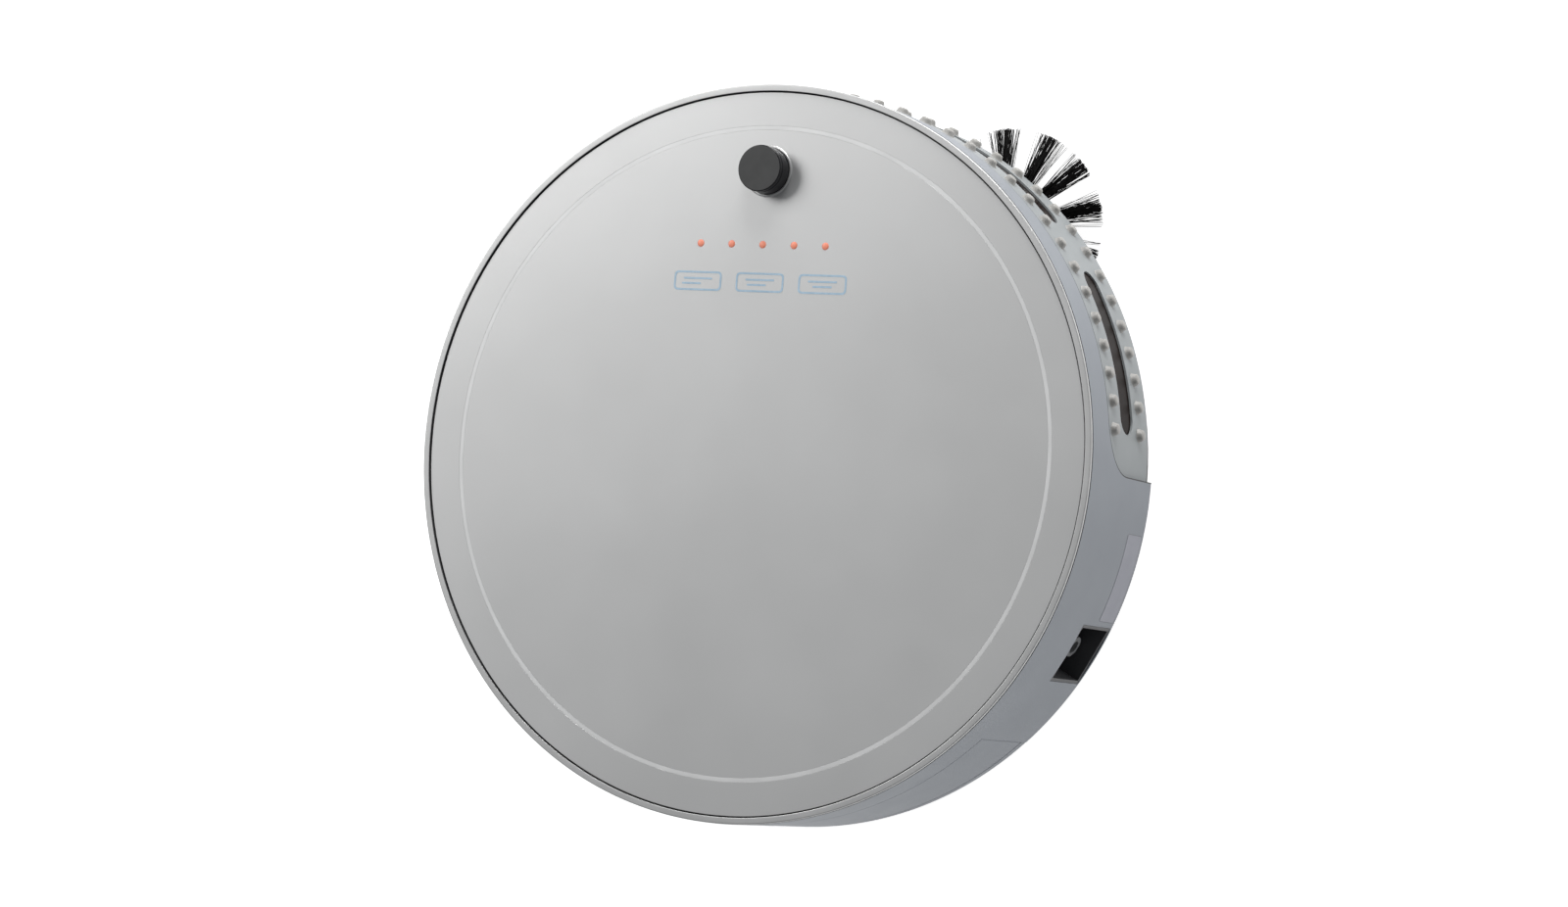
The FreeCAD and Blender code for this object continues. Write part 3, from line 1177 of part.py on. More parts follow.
def suction_fan():
    owner = body("fan_housing")
    middle = "-fan_y"
    back = "-bin_front + fan_gap"
    shape = sketch(owner, "XY_Plane", "fan_low")
    outline(shape, [("-fan_case_radius", back), ("fan_case_radius", back), ("fan_case_radius", middle),
                    ("-fan_case_radius", middle, "0", middle, 1)])
    pad(owner, shape, "fan_high - fan_low")
    cavity = sketch(owner, "XY_Plane", "fan_high")
    circle(cavity, "0", middle, "fan_case_radius - fan_wall")
    pocket(owner, cavity, "fan_high - cavity_low")
    eye = sketch(owner, "XY_Plane", "cavity_low")
    circle(eye, "0", middle, "eye_radius")
    pocket(owner, eye, "fan_wall + 1")
    plenum = sketch(owner, "XZ_Plane", "fan_y - eye_radius - 1")
    rectangle(plenum, "-plenum_half_width", "plenum_half_width", "fan_low + fan_wall",
              "fan_low + fan_wall + plenum_height")
    pocket(owner, plenum, forward=True)
    outlet = sketch(owner, "YZ_Plane")
    rectangle(outlet, "-duct_y - duct_width / 2 + duct_wall", "-duct_y + duct_width / 2 - duct_wall",
              "duct_low + duct_wall", "duct_high - duct_wall")
    pocket(owner, outlet)
    impeller = turned("fan_impeller", [
        ("0", "impeller_low"), ("fan_hub_radius", "impeller_low"), ("fan_hub_radius", "disc_low"),
        ("impeller_radius", "disc_low"), ("impeller_radius", "disc_low + impeller_disc"),
        ("fan_shaft_radius", "disc_low + impeller_disc"), ("fan_shaft_radius", "deck_height - 1"),
        ("0", "deck_height - 1")])
    blade = sketch(impeller, "XY_Plane", "impeller_low")
    rectangle(blade, "eye_radius", "impeller_radius - 0.4", "-blade_thickness / 2", "blade_thickness / 2")
    polar(impeller, pad(impeller, blade, "blade_height + 0.2"), "blade_count")
    place(impeller, y=middle)
    node(cut(rod("fan_motor_radius", "fan_motor_low", "deck_height - slip", y=middle),
             rod("fan_shaft_radius + running", "fan_motor_low - 1", "deck_height - slip - 0.4", y=middle)),
         "fan_motor")
    wall_x = "sqrt(housing_inner^2 - (duct_y + duct_width / 2)^2) - 1"
    outer = block("-(%s)" % wall_x, "-fan_case_radius - slip", "-duct_y - duct_width / 2",
                  "-duct_y + duct_width / 2", "duct_low", "duct_high")
    inner = block("-body_radius", "0", "-duct_y - duct_width / 2 + duct_wall",
                  "-duct_y + duct_width / 2 - duct_wall", "duct_low + duct_wall", "duct_high - duct_wall")
    node(cut(outer, inner), "exhaust_duct")
    front = "-duct_y + duct_width / 2 - slip"
    rear = "-duct_y - duct_width / 2 + slip"
    plate = common(cut(rod("body_radius - 0.4", "duct_low + slip", "duct_high - slip"),
                       rod("housing_inner - 0.2", "duct_low", "duct_high")),
                   block("-body_radius", "0", rear, front, "duct_low", "duct_high"))
    pitch = "((duct_width - 2 * slip) / 5)"
    gaps = [block("-body_radius - 1", "0", "%s + %d * %s + grille_slat" % (rear, i, pitch),
                  "%s + %d * %s" % (rear, i + 1, pitch), "duct_low + slip + grille_slat",
                  "duct_high - slip - grille_slat") for i in range(5)]
    node(cut(plate, *gaps), "exhaust_grille")


# ---- dust bin ----------------------------------------------------------------------------------

def bin_outline(drawing, inset):
    """The bin seen from above: straight front and sides and a round back."""
    side = "(bin_half_width - %s)" % inset
    reach = "(bin_back_radius - %s)" % inset
    corner = "-sqrt(%s^2 - %s^2)" % (reach, side)
    front = "-bin_front - %s" % inset
    outline(drawing, [(side, front), ("-" + side, front), ("-" + side, corner),
                      (side, corner, "0", "0", 1)])


def dust_bin():
    tub = body("bin_tub")
    base = sketch(tub, "XY_Plane", "bin_bottom")
    bin_outline(base, "0")
    pad(tub, base, "bin_top - bin_bottom")
    hollow = sketch(tub, "XY_Plane", "bin_top")
    bin_outline(hollow, "bin_wall")
    pocket(tub, hollow, "bin_top - bin_bottom - bin_wall")
    mouth = sketch(tub, "XZ_Plane", "bin_front - 1")
    rectangle(mouth, "-throat_half_width + 1", "throat_half_width - 1", "throat_low + 1", "throat_high - 1")
    rectangle(mouth, "-filter_half_width", "filter_half_width", "filter_low", "filter_high")
    pocket(tub, mouth, "bin_wall + 2", forward=True)
    lid = body("bin_lid")
    top = sketch(lid, "XY_Plane", "bin_top")
    bin_outline(top, "0")
    pad(lid, top, "lid_thickness")
    cover = body("bin_cover")
    corner = "sqrt(body_radius^2 - cover_half_width^2)"
    inner = "sqrt(housing_inner^2 - cover_half_width^2)"
    skin = sketch(cover, "XY_Plane", "wall_bottom + cover_gap")
    outline(skin, [("-cover_half_width", "-" + corner), ("cover_half_width", "-" + corner, "0", "0", 1),
                   ("cover_half_width", "-" + inner), ("-cover_half_width", "-" + inner, "0", "0", -1)])
    pad(cover, skin, "cover_top - wall_bottom - cover_gap")
    ribs = sketch(cover, "XY_Plane", "bin_bottom + 2")
    for middle in ("-78", "-34", "34", "78"):
        rectangle(ribs, "%s - 1.5" % middle, "%s + 1.5" % middle,
                  "-sqrt(housing_inner^2 - (%s)^2) - 1" % middle,
                  "-sqrt(bin_back_radius^2 - (%s)^2)" % middle)
    pad(cover, ribs, "bin_top - bin_bottom - 4")
    tub_clear = sketch(cover, "XY_Plane", "bin_bottom")
    bin_outline(tub_clear, "0")
    pocket(cover, tub_clear, "bin_top - bin_bottom", forward=True)
    gap = sketch(cover, "XZ_Plane")
    rectangle(gap, "-latch_half_width", "latch_half_width", "latch_low", "latch_high")
    pocket(cover, gap, forward=True)
    button_skin = cut(rod("body_radius - 0.1", "latch_low + slip", "latch_high - slip"),
                      rod("housing_inner - 0.2", "0", "top_height"))
    button_sides = block("-latch_half_width + slip", "latch_half_width - slip", "-body_radius - 1", "0",
                         "0", "top_height")
    node(common(button_skin, button_sides), "bin_release_button")
    low, high = "filter_low + slip", "filter_high - slip"
    side = "(filter_half_width - slip)"
    front = "-bin_front + 1.3"
    back = "%s - filter_depth" % front
    frame = block("-" + side, side, back, front, low, high)
    opening = block("-%s + filter_border" % side, "%s - filter_border" % side, back + " - 1", front + " + 1",
                    "%s + filter_border" % low, "%s - filter_border" % high)
    node(cut(frame, opening), "filter_frame")
    node(block("-%s + filter_border" % side, "%s - filter_border" % side, back + " + 0.6", front + " - 0.6",
               "%s + filter_border" % low, "%s - filter_border" % high), "filter_media")


# ---- build, check and write --------------------------------------------------------------------

base_chassis()
underside_screws()
charging_contacts()
cliff_sensors()
upper_housing()
top_plate()
top_details()
turret()
main_board()
battery()
side_port()
label_plate()
bumper()
bumper_nubs()
collision_switches()
for hand, hand_name in ((1, "right"), (-1, "left")):
    wheel_well(hand, hand_name)
    drive_unit(hand, hand_name)
    wheel(hand, hand_name)
suspension_pins()
caster()
side_brush()
brush_head()
main_brush()
suction_fan()
dust_bin()

doc.recompute()
failed = [item.Label for item in doc.Objects if "Invalid" in item.State or "Error" in item.State]
if failed:
    raise ValueError("failed objects: %s" % failed)
os.makedirs("parts", exist_ok=True)
for piece in NODES:
    if piece.Shape.isNull() or not piece.Shape.isValid() or not piece.Shape.Solids:
        raise ValueError("%s has no valid solid" % piece.Label)
for piece in NODES:
    piece.Shape.exportStep("parts/%s.step" % piece.Label)
print("%d pieces" % len(NODES))
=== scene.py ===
import math
import random

import bmesh
import bpy
from mathutils import Matrix, Vector


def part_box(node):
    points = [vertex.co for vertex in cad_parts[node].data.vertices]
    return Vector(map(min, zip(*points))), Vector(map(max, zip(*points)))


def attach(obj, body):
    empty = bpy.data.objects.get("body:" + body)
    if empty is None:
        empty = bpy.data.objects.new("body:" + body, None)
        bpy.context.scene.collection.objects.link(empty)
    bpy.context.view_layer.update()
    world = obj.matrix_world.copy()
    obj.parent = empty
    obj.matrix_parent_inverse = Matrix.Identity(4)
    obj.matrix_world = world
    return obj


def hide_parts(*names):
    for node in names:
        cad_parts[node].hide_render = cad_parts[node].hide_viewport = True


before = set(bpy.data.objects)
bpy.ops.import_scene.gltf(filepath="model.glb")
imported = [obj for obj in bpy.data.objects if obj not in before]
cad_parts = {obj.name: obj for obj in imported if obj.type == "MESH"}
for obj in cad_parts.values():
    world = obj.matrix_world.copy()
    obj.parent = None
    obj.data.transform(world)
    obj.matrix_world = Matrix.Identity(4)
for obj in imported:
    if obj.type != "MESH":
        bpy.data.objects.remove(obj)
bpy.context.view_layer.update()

# Looks of a robotic floor cleaner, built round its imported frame. Metres, +Z up, +Y is the robot's front.
# Sizes are written in millimetres and multiplied by MM; places come from the frame's own nodes.

MM = 0.001
SIDES = 288  # facets of a full turn
FINE_SIDES = 384  # the same on the largest round pieces
FAR = 0.2  # a cutter reaches this far, past any side of the object

random.seed(7)


# ---- places taken from the frame ---------------------------------------------------------------

def solids(node):
    """(lowest corner, highest corner) of each separate solid of a CAD node."""
    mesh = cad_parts[node].data
    spots = [tuple(round(c, 6) for c in v.co) for v in mesh.vertices]
    owner = {spot: spot for spot in spots}

    def root(spot):
        while owner[spot] != spot:
            owner[spot] = owner[owner[spot]]
            spot = owner[spot]
        return spot

    for face in mesh.polygons:
        first = root(spots[face.vertices[0]])
        for index in face.vertices[1:]:
            owner[root(spots[index])] = first
    found = {}
    for spot in set(spots):
        found.setdefault(root(spot), []).append(spot)
    boxes = []
    for members in found.values():
        low = Vector([min(m[i] for m in members) for i in range(3)])
        high = Vector([max(m[i] for m in members) for i in range(3)])
        boxes.append((low, high))
    return sorted(boxes, key=lambda b: tuple(round(c, 5) for c in (b[0] + b[1])))


def middle(box):
    return (box[0] + box[1]) / 2


def azimuth_of(point):
    return math.degrees(math.atan2(point[1], point[0]))


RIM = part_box("upper_housing")
BODY_RADIUS = RIM[1].x
RIM_TOP = RIM[1].z
WALL_BOTTOM = RIM[0].z
PLATE_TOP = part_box("decor_ring")[1].z
PLATE_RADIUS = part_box("top_plate")[1].x
SEAL_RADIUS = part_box("rim_seal")[1].x
TURRET_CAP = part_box("turret_cap")
TURRET_MIDDLE = middle(TURRET_CAP)
TURRET_RADIUS = (TURRET_CAP[1].x - TURRET_CAP[0].x) / 2
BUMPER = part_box("bumper_shell")
BUMPER_RADIUS = BUMPER[1].x
BUMPER_Y = BUMPER[1].y - BUMPER_RADIUS  # the bumper's arc is struck from a middle in front of the housing's
NUB_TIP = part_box("bumper_nubs")[1].y - BUMPER_Y
BIN_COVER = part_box("bin_cover")
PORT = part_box("port_bezel")
PORT_AZIMUTH = azimuth_of(middle(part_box("charge_jack")))
HOUSING_WALL = 3 * MM
GROOVE = 0.5 * MM  # fine line round the wall below the rim
BUMPER_WALL = 2.5 * MM
BUMPER_TRAVEL = 4 * MM
SEAM_CORNER = 22 * MM  # round of the bumper's upper rear corner


# ---- mesh helpers ------------------------------------------------------------------------------

def link(name, mesh):
    piece = bpy.data.objects.new(name, mesh)
    bpy.context.scene.collection.objects.link(piece)
    return piece


def finish_mesh(name, shape, smooth=35):
    """Turns a bmesh into an object. Edges sharper than smooth degrees stay crisp."""
    bmesh.ops.recalc_face_normals(shape, faces=shape.faces)
    mesh = bpy.data.meshes.new(name)
    shape.to_mesh(mesh)
    shape.free()
    mesh.shade_smooth()
    mesh.set_sharp_from_angle(angle=math.radians(smooth))
    return link(name, mesh)


def rounded(corners, radius, steps=4):
    """A closed outline with every corner rounded. A corner may carry its own radius: (x, y, radius)."""
    points = []
    count = len(corners)
    for i, corner in enumerate(corners):
        here = Vector(corner[:2])
        reach = corner[2] if len(corner) > 2 else radius
        before = Vector(corners[i - 1][:2]) - here
        after = Vector(corners[(i + 1) % count][:2]) - here
        turn = before.angle(after)
        if reach <= 0 or turn > math.radians(178):
            points.append(here)
            continue
        trim = min(reach / math.tan(turn / 2), before.length * 0.49, after.length * 0.49)
        start, end = here + before.normalized() * trim, here + after.normalized() * trim
        for step in range(steps + 1):
            t = step / steps
            points.append(start * (1 - t) ** 2 + here * 2 * t * (1 - t) + end * t ** 2)
    return points


def lathe(profile, sides=SIDES, middle_at=(0, 0), start=0, sweep=360):
    """Turns a closed (radius, height) outline about a vertical axis. Part turns get end caps."""
    shape = bmesh.new()
    full = sweep >= 360
    steps = sides if full else max(2, round(sides * sweep / 360))
    rings = []
    for step in range(steps if full else steps + 1):
        a = math.radians(start + sweep * step / steps)
        ring = [shape.verts.new((middle_at[0] + r * math.cos(a), middle_at[1] + r * math.sin(a), z))
                for r, z in profile]
        rings.append(ring)
    for i in range(steps):
        ring, following = rings[i], rings[(i + 1) % len(rings)]
        for j in range(len(profile)):
            k = (j + 1) % len(profile)
            if profile[j][0] < 1e-7 and profile[k][0] < 1e-7:
                continue
            shape.faces.new((ring[j], following[j], following[k], ring[k]))
    if not full:
        shape.faces.new(rings[0])
        shape.faces.new(list(reversed(rings[-1])))
    bmesh.ops.remove_doubles(shape, verts=shape.verts, dist=1e-7)
    bmesh.ops.dissolve_degenerate(shape, edges=shape.edges, dist=1e-8)
    return shape


def prism(outline, low, high, matrix=None):
    """A straight-sided solid on a closed (x, y) outline."""
    shape = bmesh.new()
    under = [shape.verts.new((p[0], p[1], low)) for p in outline]
    over = [shape.verts.new((p[0], p[1], high)) for p in outline]
    shape.faces.new(list(reversed(under)))
    shape.faces.new(over)
    for i in range(len(outline)):
        j = (i + 1) % len(outline)
        shape.faces.new((under[i], under[j], over[j], over[i]))
    if matrix is not None:
        shape.transform(matrix)
    return shape


def skin(shape, rings):
    """Faces between neighbouring rings of vertices, and one on each end."""
    for a, b in zip(rings, rings[1:]):
        for k in range(len(a)):
            j = (k + 1) % len(a)
            shape.faces.new((a[k], a[j], b[j], b[k]))
    shape.faces.new(rings[0])
    shape.faces.new(list(reversed(rings[-1])))
    return shape


def rectangle(x0, x1, y0, y1):
    return [(x0, y0), (x1, y0), (x1, y1), (x0, y1)]


def circle(radius, x=0.0, y=0.0, sides=32):
    return [(x + radius * math.cos(2 * math.pi * i / sides), y + radius * math.sin(2 * math.pi * i / sides))
            for i in range(sides)]


def joined(shapes):
    """Several bmeshes as one."""
    whole = bmesh.new()
    for shape in shapes:
        mesh = bpy.data.meshes.new("part")
        shape.to_mesh(mesh)
        shape.free()
        whole.from_mesh(mesh)
        bpy.data.meshes.remove(mesh)
    return whole


def standing(azimuth, radius, height):
    """Local X points outwards, Y along the wall (anticlockwise) and Z up, from a point on the wall."""
    a = math.radians(azimuth)
    return (Matrix.Translation((radius * math.cos(a), radius * math.sin(a), height))
            @ Matrix.Rotation(a, 4, "Z"))


OUTWARDS = Matrix(((0, 0, 1, 0), (1, 0, 0, 0), (0, 1, 0, 0), (0, 0, 0, 1)))  # a prism's Z becomes X


def carve(piece, cutter, operation="DIFFERENCE"):
    """Applies an exact boolean and removes the cutter."""
    tool = finish_mesh("cutter", cutter)
    step = piece.modifiers.new("cut", "BOOLEAN")
    step.operation = operation
    step.solver = "EXACT"
    step.object = tool
    apply_modifiers(piece)
    bpy.data.objects.remove(tool)


def apply_modifiers(piece, smooth=35):
    """Makes what the modifiers show the piece's own mesh."""
    graph = bpy.context.evaluated_depsgraph_get()
    mesh = bpy.data.meshes.new_from_object(piece.evaluated_get(graph))
    piece.modifiers.clear()
    old = piece.data
    piece.data = mesh
    bpy.data.meshes.remove(old)
    mesh.shade_smooth()
    mesh.set_sharp_from_angle(angle=math.radians(smooth))


def soften(piece, width, segments=2, angle=35):
    """Rounds the sharp edges by a bevel modifier."""
    bevel = piece.modifiers.new("soft_edges", "BEVEL")
    bevel.width = width
    bevel.segments = segments
    bevel.limit_method = "ANGLE"
    bevel.angle_limit = math.radians(angle)
    bevel.harden_normals = True
    return piece


def even_normals(piece):
    """Large faces keep their own direction next to small rounded ones."""
    weigh = piece.modifiers.new("even_normals", "WEIGHTED_NORMAL")
    weigh.keep_sharp = True
    weigh.weight = 100


def place(piece, body, material, slot, *nodes):
    """Gives a finished piece its material and even normals, hides the CAD nodes it stands for and hangs it on
    its body. slot is not used.
    """
    piece.data.materials.clear()
    piece.data.materials.append(material)
    even_normals(piece)
    if nodes:
        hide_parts(*nodes)
    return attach(piece, body)


# ---- materials ---------------------------------------------------------------------------------

def surface(name, dark, light, roughness=0.4, spread=0.05, mottle=35, grain=1800, bump=0.1, edge=None,
            **fixed):
    """Principled surface: its colour drifts from dark to light, its gloss is uneven, a fine grain is
    raised, and its worn edges take the edge colour. fixed sets the shader's own sockets."""
    material = bpy.data.materials.new(name)
    material.use_nodes = True
    tree = material.node_tree
    new, join = tree.nodes.new, tree.links.new
    shader = tree.nodes["Principled BSDF"]
    where = new("ShaderNodeTexCoord").outputs["Object"]

    def noise(scale, detail=3):
        node = new("ShaderNodeTexNoise")
        node.inputs["Scale"].default_value = scale
        node.inputs["Detail"].default_value = detail
        join(where, node.inputs["Vector"])
        return node.outputs["Fac"]

    ramp = new("ShaderNodeValToRGB")
    ramp.color_ramp.elements[0].position = 0.35
    ramp.color_ramp.elements[1].position = 0.65
    ramp.color_ramp.elements[0].color = (*dark, 1)
    ramp.color_ramp.elements[1].color = (*light, 1)
    join(noise(mottle), ramp.inputs["Fac"])
    colour = ramp.outputs["Color"]
    if edge is not None:
        worn = new("ShaderNodeValToRGB")
        worn.color_ramp.elements[0].position = 0.52
        worn.color_ramp.elements[1].position = 0.6
        join(new("ShaderNodeNewGeometry").outputs["Pointiness"], worn.inputs["Fac"])
        mix = new("ShaderNodeMix")
        mix.data_type = "RGBA"
        mix.inputs["B"].default_value = (*edge, 1)
        join(worn.outputs["Color"], mix.inputs["Factor"])
        join(colour, mix.inputs["A"])
        colour = mix.outputs["Result"]
    join(colour, shader.inputs["Base Color"])
    gloss = new("ShaderNodeMapRange")
    gloss.inputs["To Min"].default_value = roughness - spread
    gloss.inputs["To Max"].default_value = roughness + spread
    join(noise(mottle * 2.7), gloss.inputs["Value"])
    join(gloss.outputs["Result"], shader.inputs["Roughness"])
    relief = new("ShaderNodeBump")
    relief.inputs["Strength"].default_value = bump
    relief.inputs["Distance"].default_value = 0.0001
    join(noise(grain, 2), relief.inputs["Height"])
    join(relief.outputs["Normal"], shader.inputs["Normal"])
    for socket, value in fixed.items():
        shader.inputs[socket.replace("_", " ")].default_value = value
    return material


PLATE = surface("satin_silver_plate", (0.545, 0.545, 0.54), (0.575, 0.575, 0.57), 0.36, 0.02, 12, 5200, 0.035,
                Metallic=0.55)
TRIM = surface("satin_silver_trim", (0.50, 0.50, 0.495), (0.53, 0.53, 0.525), 0.38, 0.03, 60, 4000, 0.05,
               Metallic=0.55)
RING_LINE = surface("pale_ring_inlay", (0.66, 0.66, 0.655), (0.72, 0.72, 0.715), 0.42, 0.03, 60, 4000, 0.05,
                    Metallic=0.3)
WALL = surface("blue_grey_paint", (0.25, 0.266, 0.291), (0.265, 0.282, 0.307), 0.48, 0.05, 25, 2600, 0.05,
               Metallic=0.05, Specular_IOR_Level=0.16)
BUMPER_PAINT = surface("bumper_paint", (0.28, 0.297, 0.303), (0.295, 0.312, 0.318), 0.5, 0.05, 25, 2400, 0.06,
                       Metallic=0.05, Specular_IOR_Level=0.25)
# Dark seal rubber. The same colour is also painted on as shade on the rim's inner wall and in the bumper's
# seam gap.
SEAL_RUBBER_AND_PAINTED_SHADE = surface("dark_seal_rubber", (0.03, 0.03, 0.031), (0.042, 0.042, 0.043), 0.6, 0.1, 90, 1500, 0.25)
BLACK_GLOSS = surface("black_lens_plastic", (0.006, 0.006, 0.008), (0.01, 0.01, 0.012), 0.16, 0.03, 60,
                      2500, 0.03, Specular_IOR_Level=0.35)
CAP_GREY = surface("matte_turret_cap", (0.04, 0.04, 0.04), (0.047, 0.047, 0.047), 0.62, 0.05, 150, 5000, 0.12)
BLACK_PLASTIC = surface("black_moulded_plastic", (0.018, 0.018, 0.019), (0.028, 0.028, 0.03), 0.5, 0.08,
                        45, 1400, 0.3, edge=(0.07, 0.07, 0.072))
DARK_PLASTIC = surface("dark_moulded_plastic", (0.045, 0.045, 0.048), (0.06, 0.06, 0.064), 0.48, 0.08,
                       40, 1300, 0.3, edge=(0.12, 0.12, 0.125))
GREY_PLASTIC = surface("grey_moulded_plastic", (0.16, 0.165, 0.17), (0.19, 0.195, 0.2), 0.46, 0.08, 40,
                       1300, 0.25, edge=(0.28, 0.285, 0.29))
WINDOW = surface("infrared_window", (0.007, 0.0035, 0.0025), (0.012, 0.006, 0.0045), 0.25, 0.05, 60,
                 2000, 0.02, Specular_IOR_Level=0.03)
NUB_RUBBER = surface("warm_grey_rubber", (0.32, 0.312, 0.295), (0.38, 0.37, 0.352), 0.5, 0.08, 400, 3000,
                     0.25)
TYRE_RUBBER = surface("tyre_rubber", (0.014, 0.014, 0.014), (0.024, 0.023, 0.022), 0.72, 0.1, 120, 1600, 0.5,
                      edge=(0.05, 0.048, 0.046))
LABEL = surface("blank_label_film", (0.225, 0.23, 0.272), (0.24, 0.245, 0.287), 0.4, 0.05, 100, 2500, 0.06)
LABEL_BORDER = surface("label_border_print", (0.13, 0.135, 0.155), (0.15, 0.155, 0.175), 0.45, 0.05, 200,
                       2500, 0.05)
BOARD = surface("green_circuit_board", (0.008, 0.07, 0.03), (0.014, 0.1, 0.045), 0.35, 0.06, 220, 900, 0.25)
BATTERY_WRAP = surface("blue_battery_wrap", (0.02, 0.06, 0.19), (0.03, 0.085, 0.25), 0.3, 0.06, 60, 700, 0.2)
STEEL = surface("zinc_plated_steel", (0.42, 0.42, 0.43), (0.56, 0.56, 0.57), 0.3, 0.1, 300, 1800, 0.2,
                Metallic=1.0)
CONTACT = surface("nickel_contact", (0.66, 0.62, 0.52), (0.76, 0.72, 0.61), 0.2, 0.08, 220, 1500, 0.15,
                  Metallic=1.0)
BIN_PLASTIC = surface("smoked_clear_plastic", (0.2, 0.21, 0.22), (0.26, 0.27, 0.28), 0.14, 0.04, 45,
                      1500, 0.03, Transmission_Weight=0.75, IOR=1.5)
FILTER_PAPER = surface("pleated_filter_paper", (0.62, 0.62, 0.57), (0.76, 0.76, 0.71), 0.85, 0.05, 500,
                       3500, 0.6)
BRISTLE_BLACK = surface("black_nylon", (0.003, 0.003, 0.003), (0.009, 0.008, 0.008), 0.6, 0.08, 700,
                        3000, 0.1, Specular_IOR_Level=0.12)
BRISTLE_BLUE = surface("blue_nylon", (0.018, 0.035, 0.085), (0.03, 0.06, 0.13), 0.4, 0.08, 700, 3000, 0.1)
BUTTON_GREY = surface("button_plastic", (0.1, 0.105, 0.11), (0.13, 0.135, 0.14), 0.4, 0.06, 60, 1500, 0.2,
                      edge=(0.2, 0.205, 0.21))
LIGHT_LENS = surface("orange_light_lens", (0.72, 0.22, 0.14), (0.78, 0.27, 0.18), 0.4, 0.05, 900, 3000, 0.05,
                     Emission_Color=(1.0, 0.33, 0.2, 1), Emission_Strength=0.18)
# The key print has a faint emission: a painted glow, since the print is no lamp.
KEY_PRINT_WITH_PAINTED_GLOW = surface("pale_blue_key_print", (0.34, 0.47, 0.58), (0.41, 0.54, 0.65), 0.45, 0.05, 700, 3000,
                    0.05, Emission_Color=(0.35, 0.6, 0.8, 1), Emission_Strength=0.06)


# ---- housing, rim and top plate ----------------------------------------------------------------

def yz_prism(outline, half_width):
    """A prism along X from a (y, z) outline."""
    return prism(outline, -half_width, half_width, OUTWARDS)


def bumper_silhouette(back, top, corner):
    """The bumper's side view: a straight rear end and a large round at its upper rear corner."""
    arc = [(back + corner - corner * math.cos(a), top - corner + corner * math.sin(a))
           for a in (math.radians(t) for t in range(0, 91, 3))]
    return [(back, -0.01)] + arc + [(FAR, top), (FAR, -0.01)]


def seam_gasket(back, band, corner, width):
    """A thin dark strip let into the housing along the edge of the bumper's opening: painted shade, standing
    in for the shadow in the gap of the seam.
    """
    inner, outer = BUMPER_RADIUS + 0.6 * MM, BODY_RADIUS - 0.03 * MM
    edge = [((back, WALL_BOTTOM), (-1, 0)), ((back, band - corner), (-1, 0))]
    for degrees in range(3, 90, 3):
        a = math.radians(degrees)
        edge.append(((back + corner - corner * math.cos(a), band - corner + corner * math.sin(a)),
                     (-math.cos(a), math.sin(a))))
    first = math.asin((back + corner) / BODY_RADIUS)
    section = ((inner, 0), (outer, 0), (outer, 1), (inner, 1))
    steps = 81
    shape = bmesh.new()
    rings = []
    for side in (1, -1):
        half = []
        for (y, z), (ny, nz) in edge:
            ring = []
            for r, share in section:
                py, pz = y + ny * width * share, z + nz * width * share
                ring.append(shape.verts.new((side * math.sqrt(r * r - py * py), py, pz)))
            half.append(ring)
        for i in range(steps):
            a = first + (math.pi / 2 - first) * i / steps
            half.append([shape.verts.new((side * r * math.cos(a), r * math.sin(a), band + width * share))
                         for r, share in section])
        rings.append(half)
    crown = [shape.verts.new((0, r, band + width * share)) for r, share in section]
    skin(shape, rings[0] + [crown] + list(reversed(rings[1])))
    place(finish_mesh("seam_gasket", shape), "chassis", SEAL_RUBBER_AND_PAINTED_SHADE, "seal_and_painted_shade")


def travel_pocket(back, band, corner):
    """Room behind the wall's edge for the pushed-in bumper."""
    relief = BUMPER_RADIUS + 0.45 * MM
    low, high = WALL_BOTTOM - 0.01, band - 0.1 * MM
    room = finish_mesh("pocket", lathe([(0, low), (relief, low), (relief, high), (0, high)],
                                       FINE_SIDES, (0, BUMPER_Y - BUMPER_TRAVEL)))
    end = back - BUMPER_TRAVEL - 0.9 * MM
    carve(room, yz_prism(bumper_silhouette(end, band, corner), FAR), "INTERSECT")
    shape = bmesh.new()
    shape.from_mesh(room.data)
    bpy.data.objects.remove(room)
    return shape


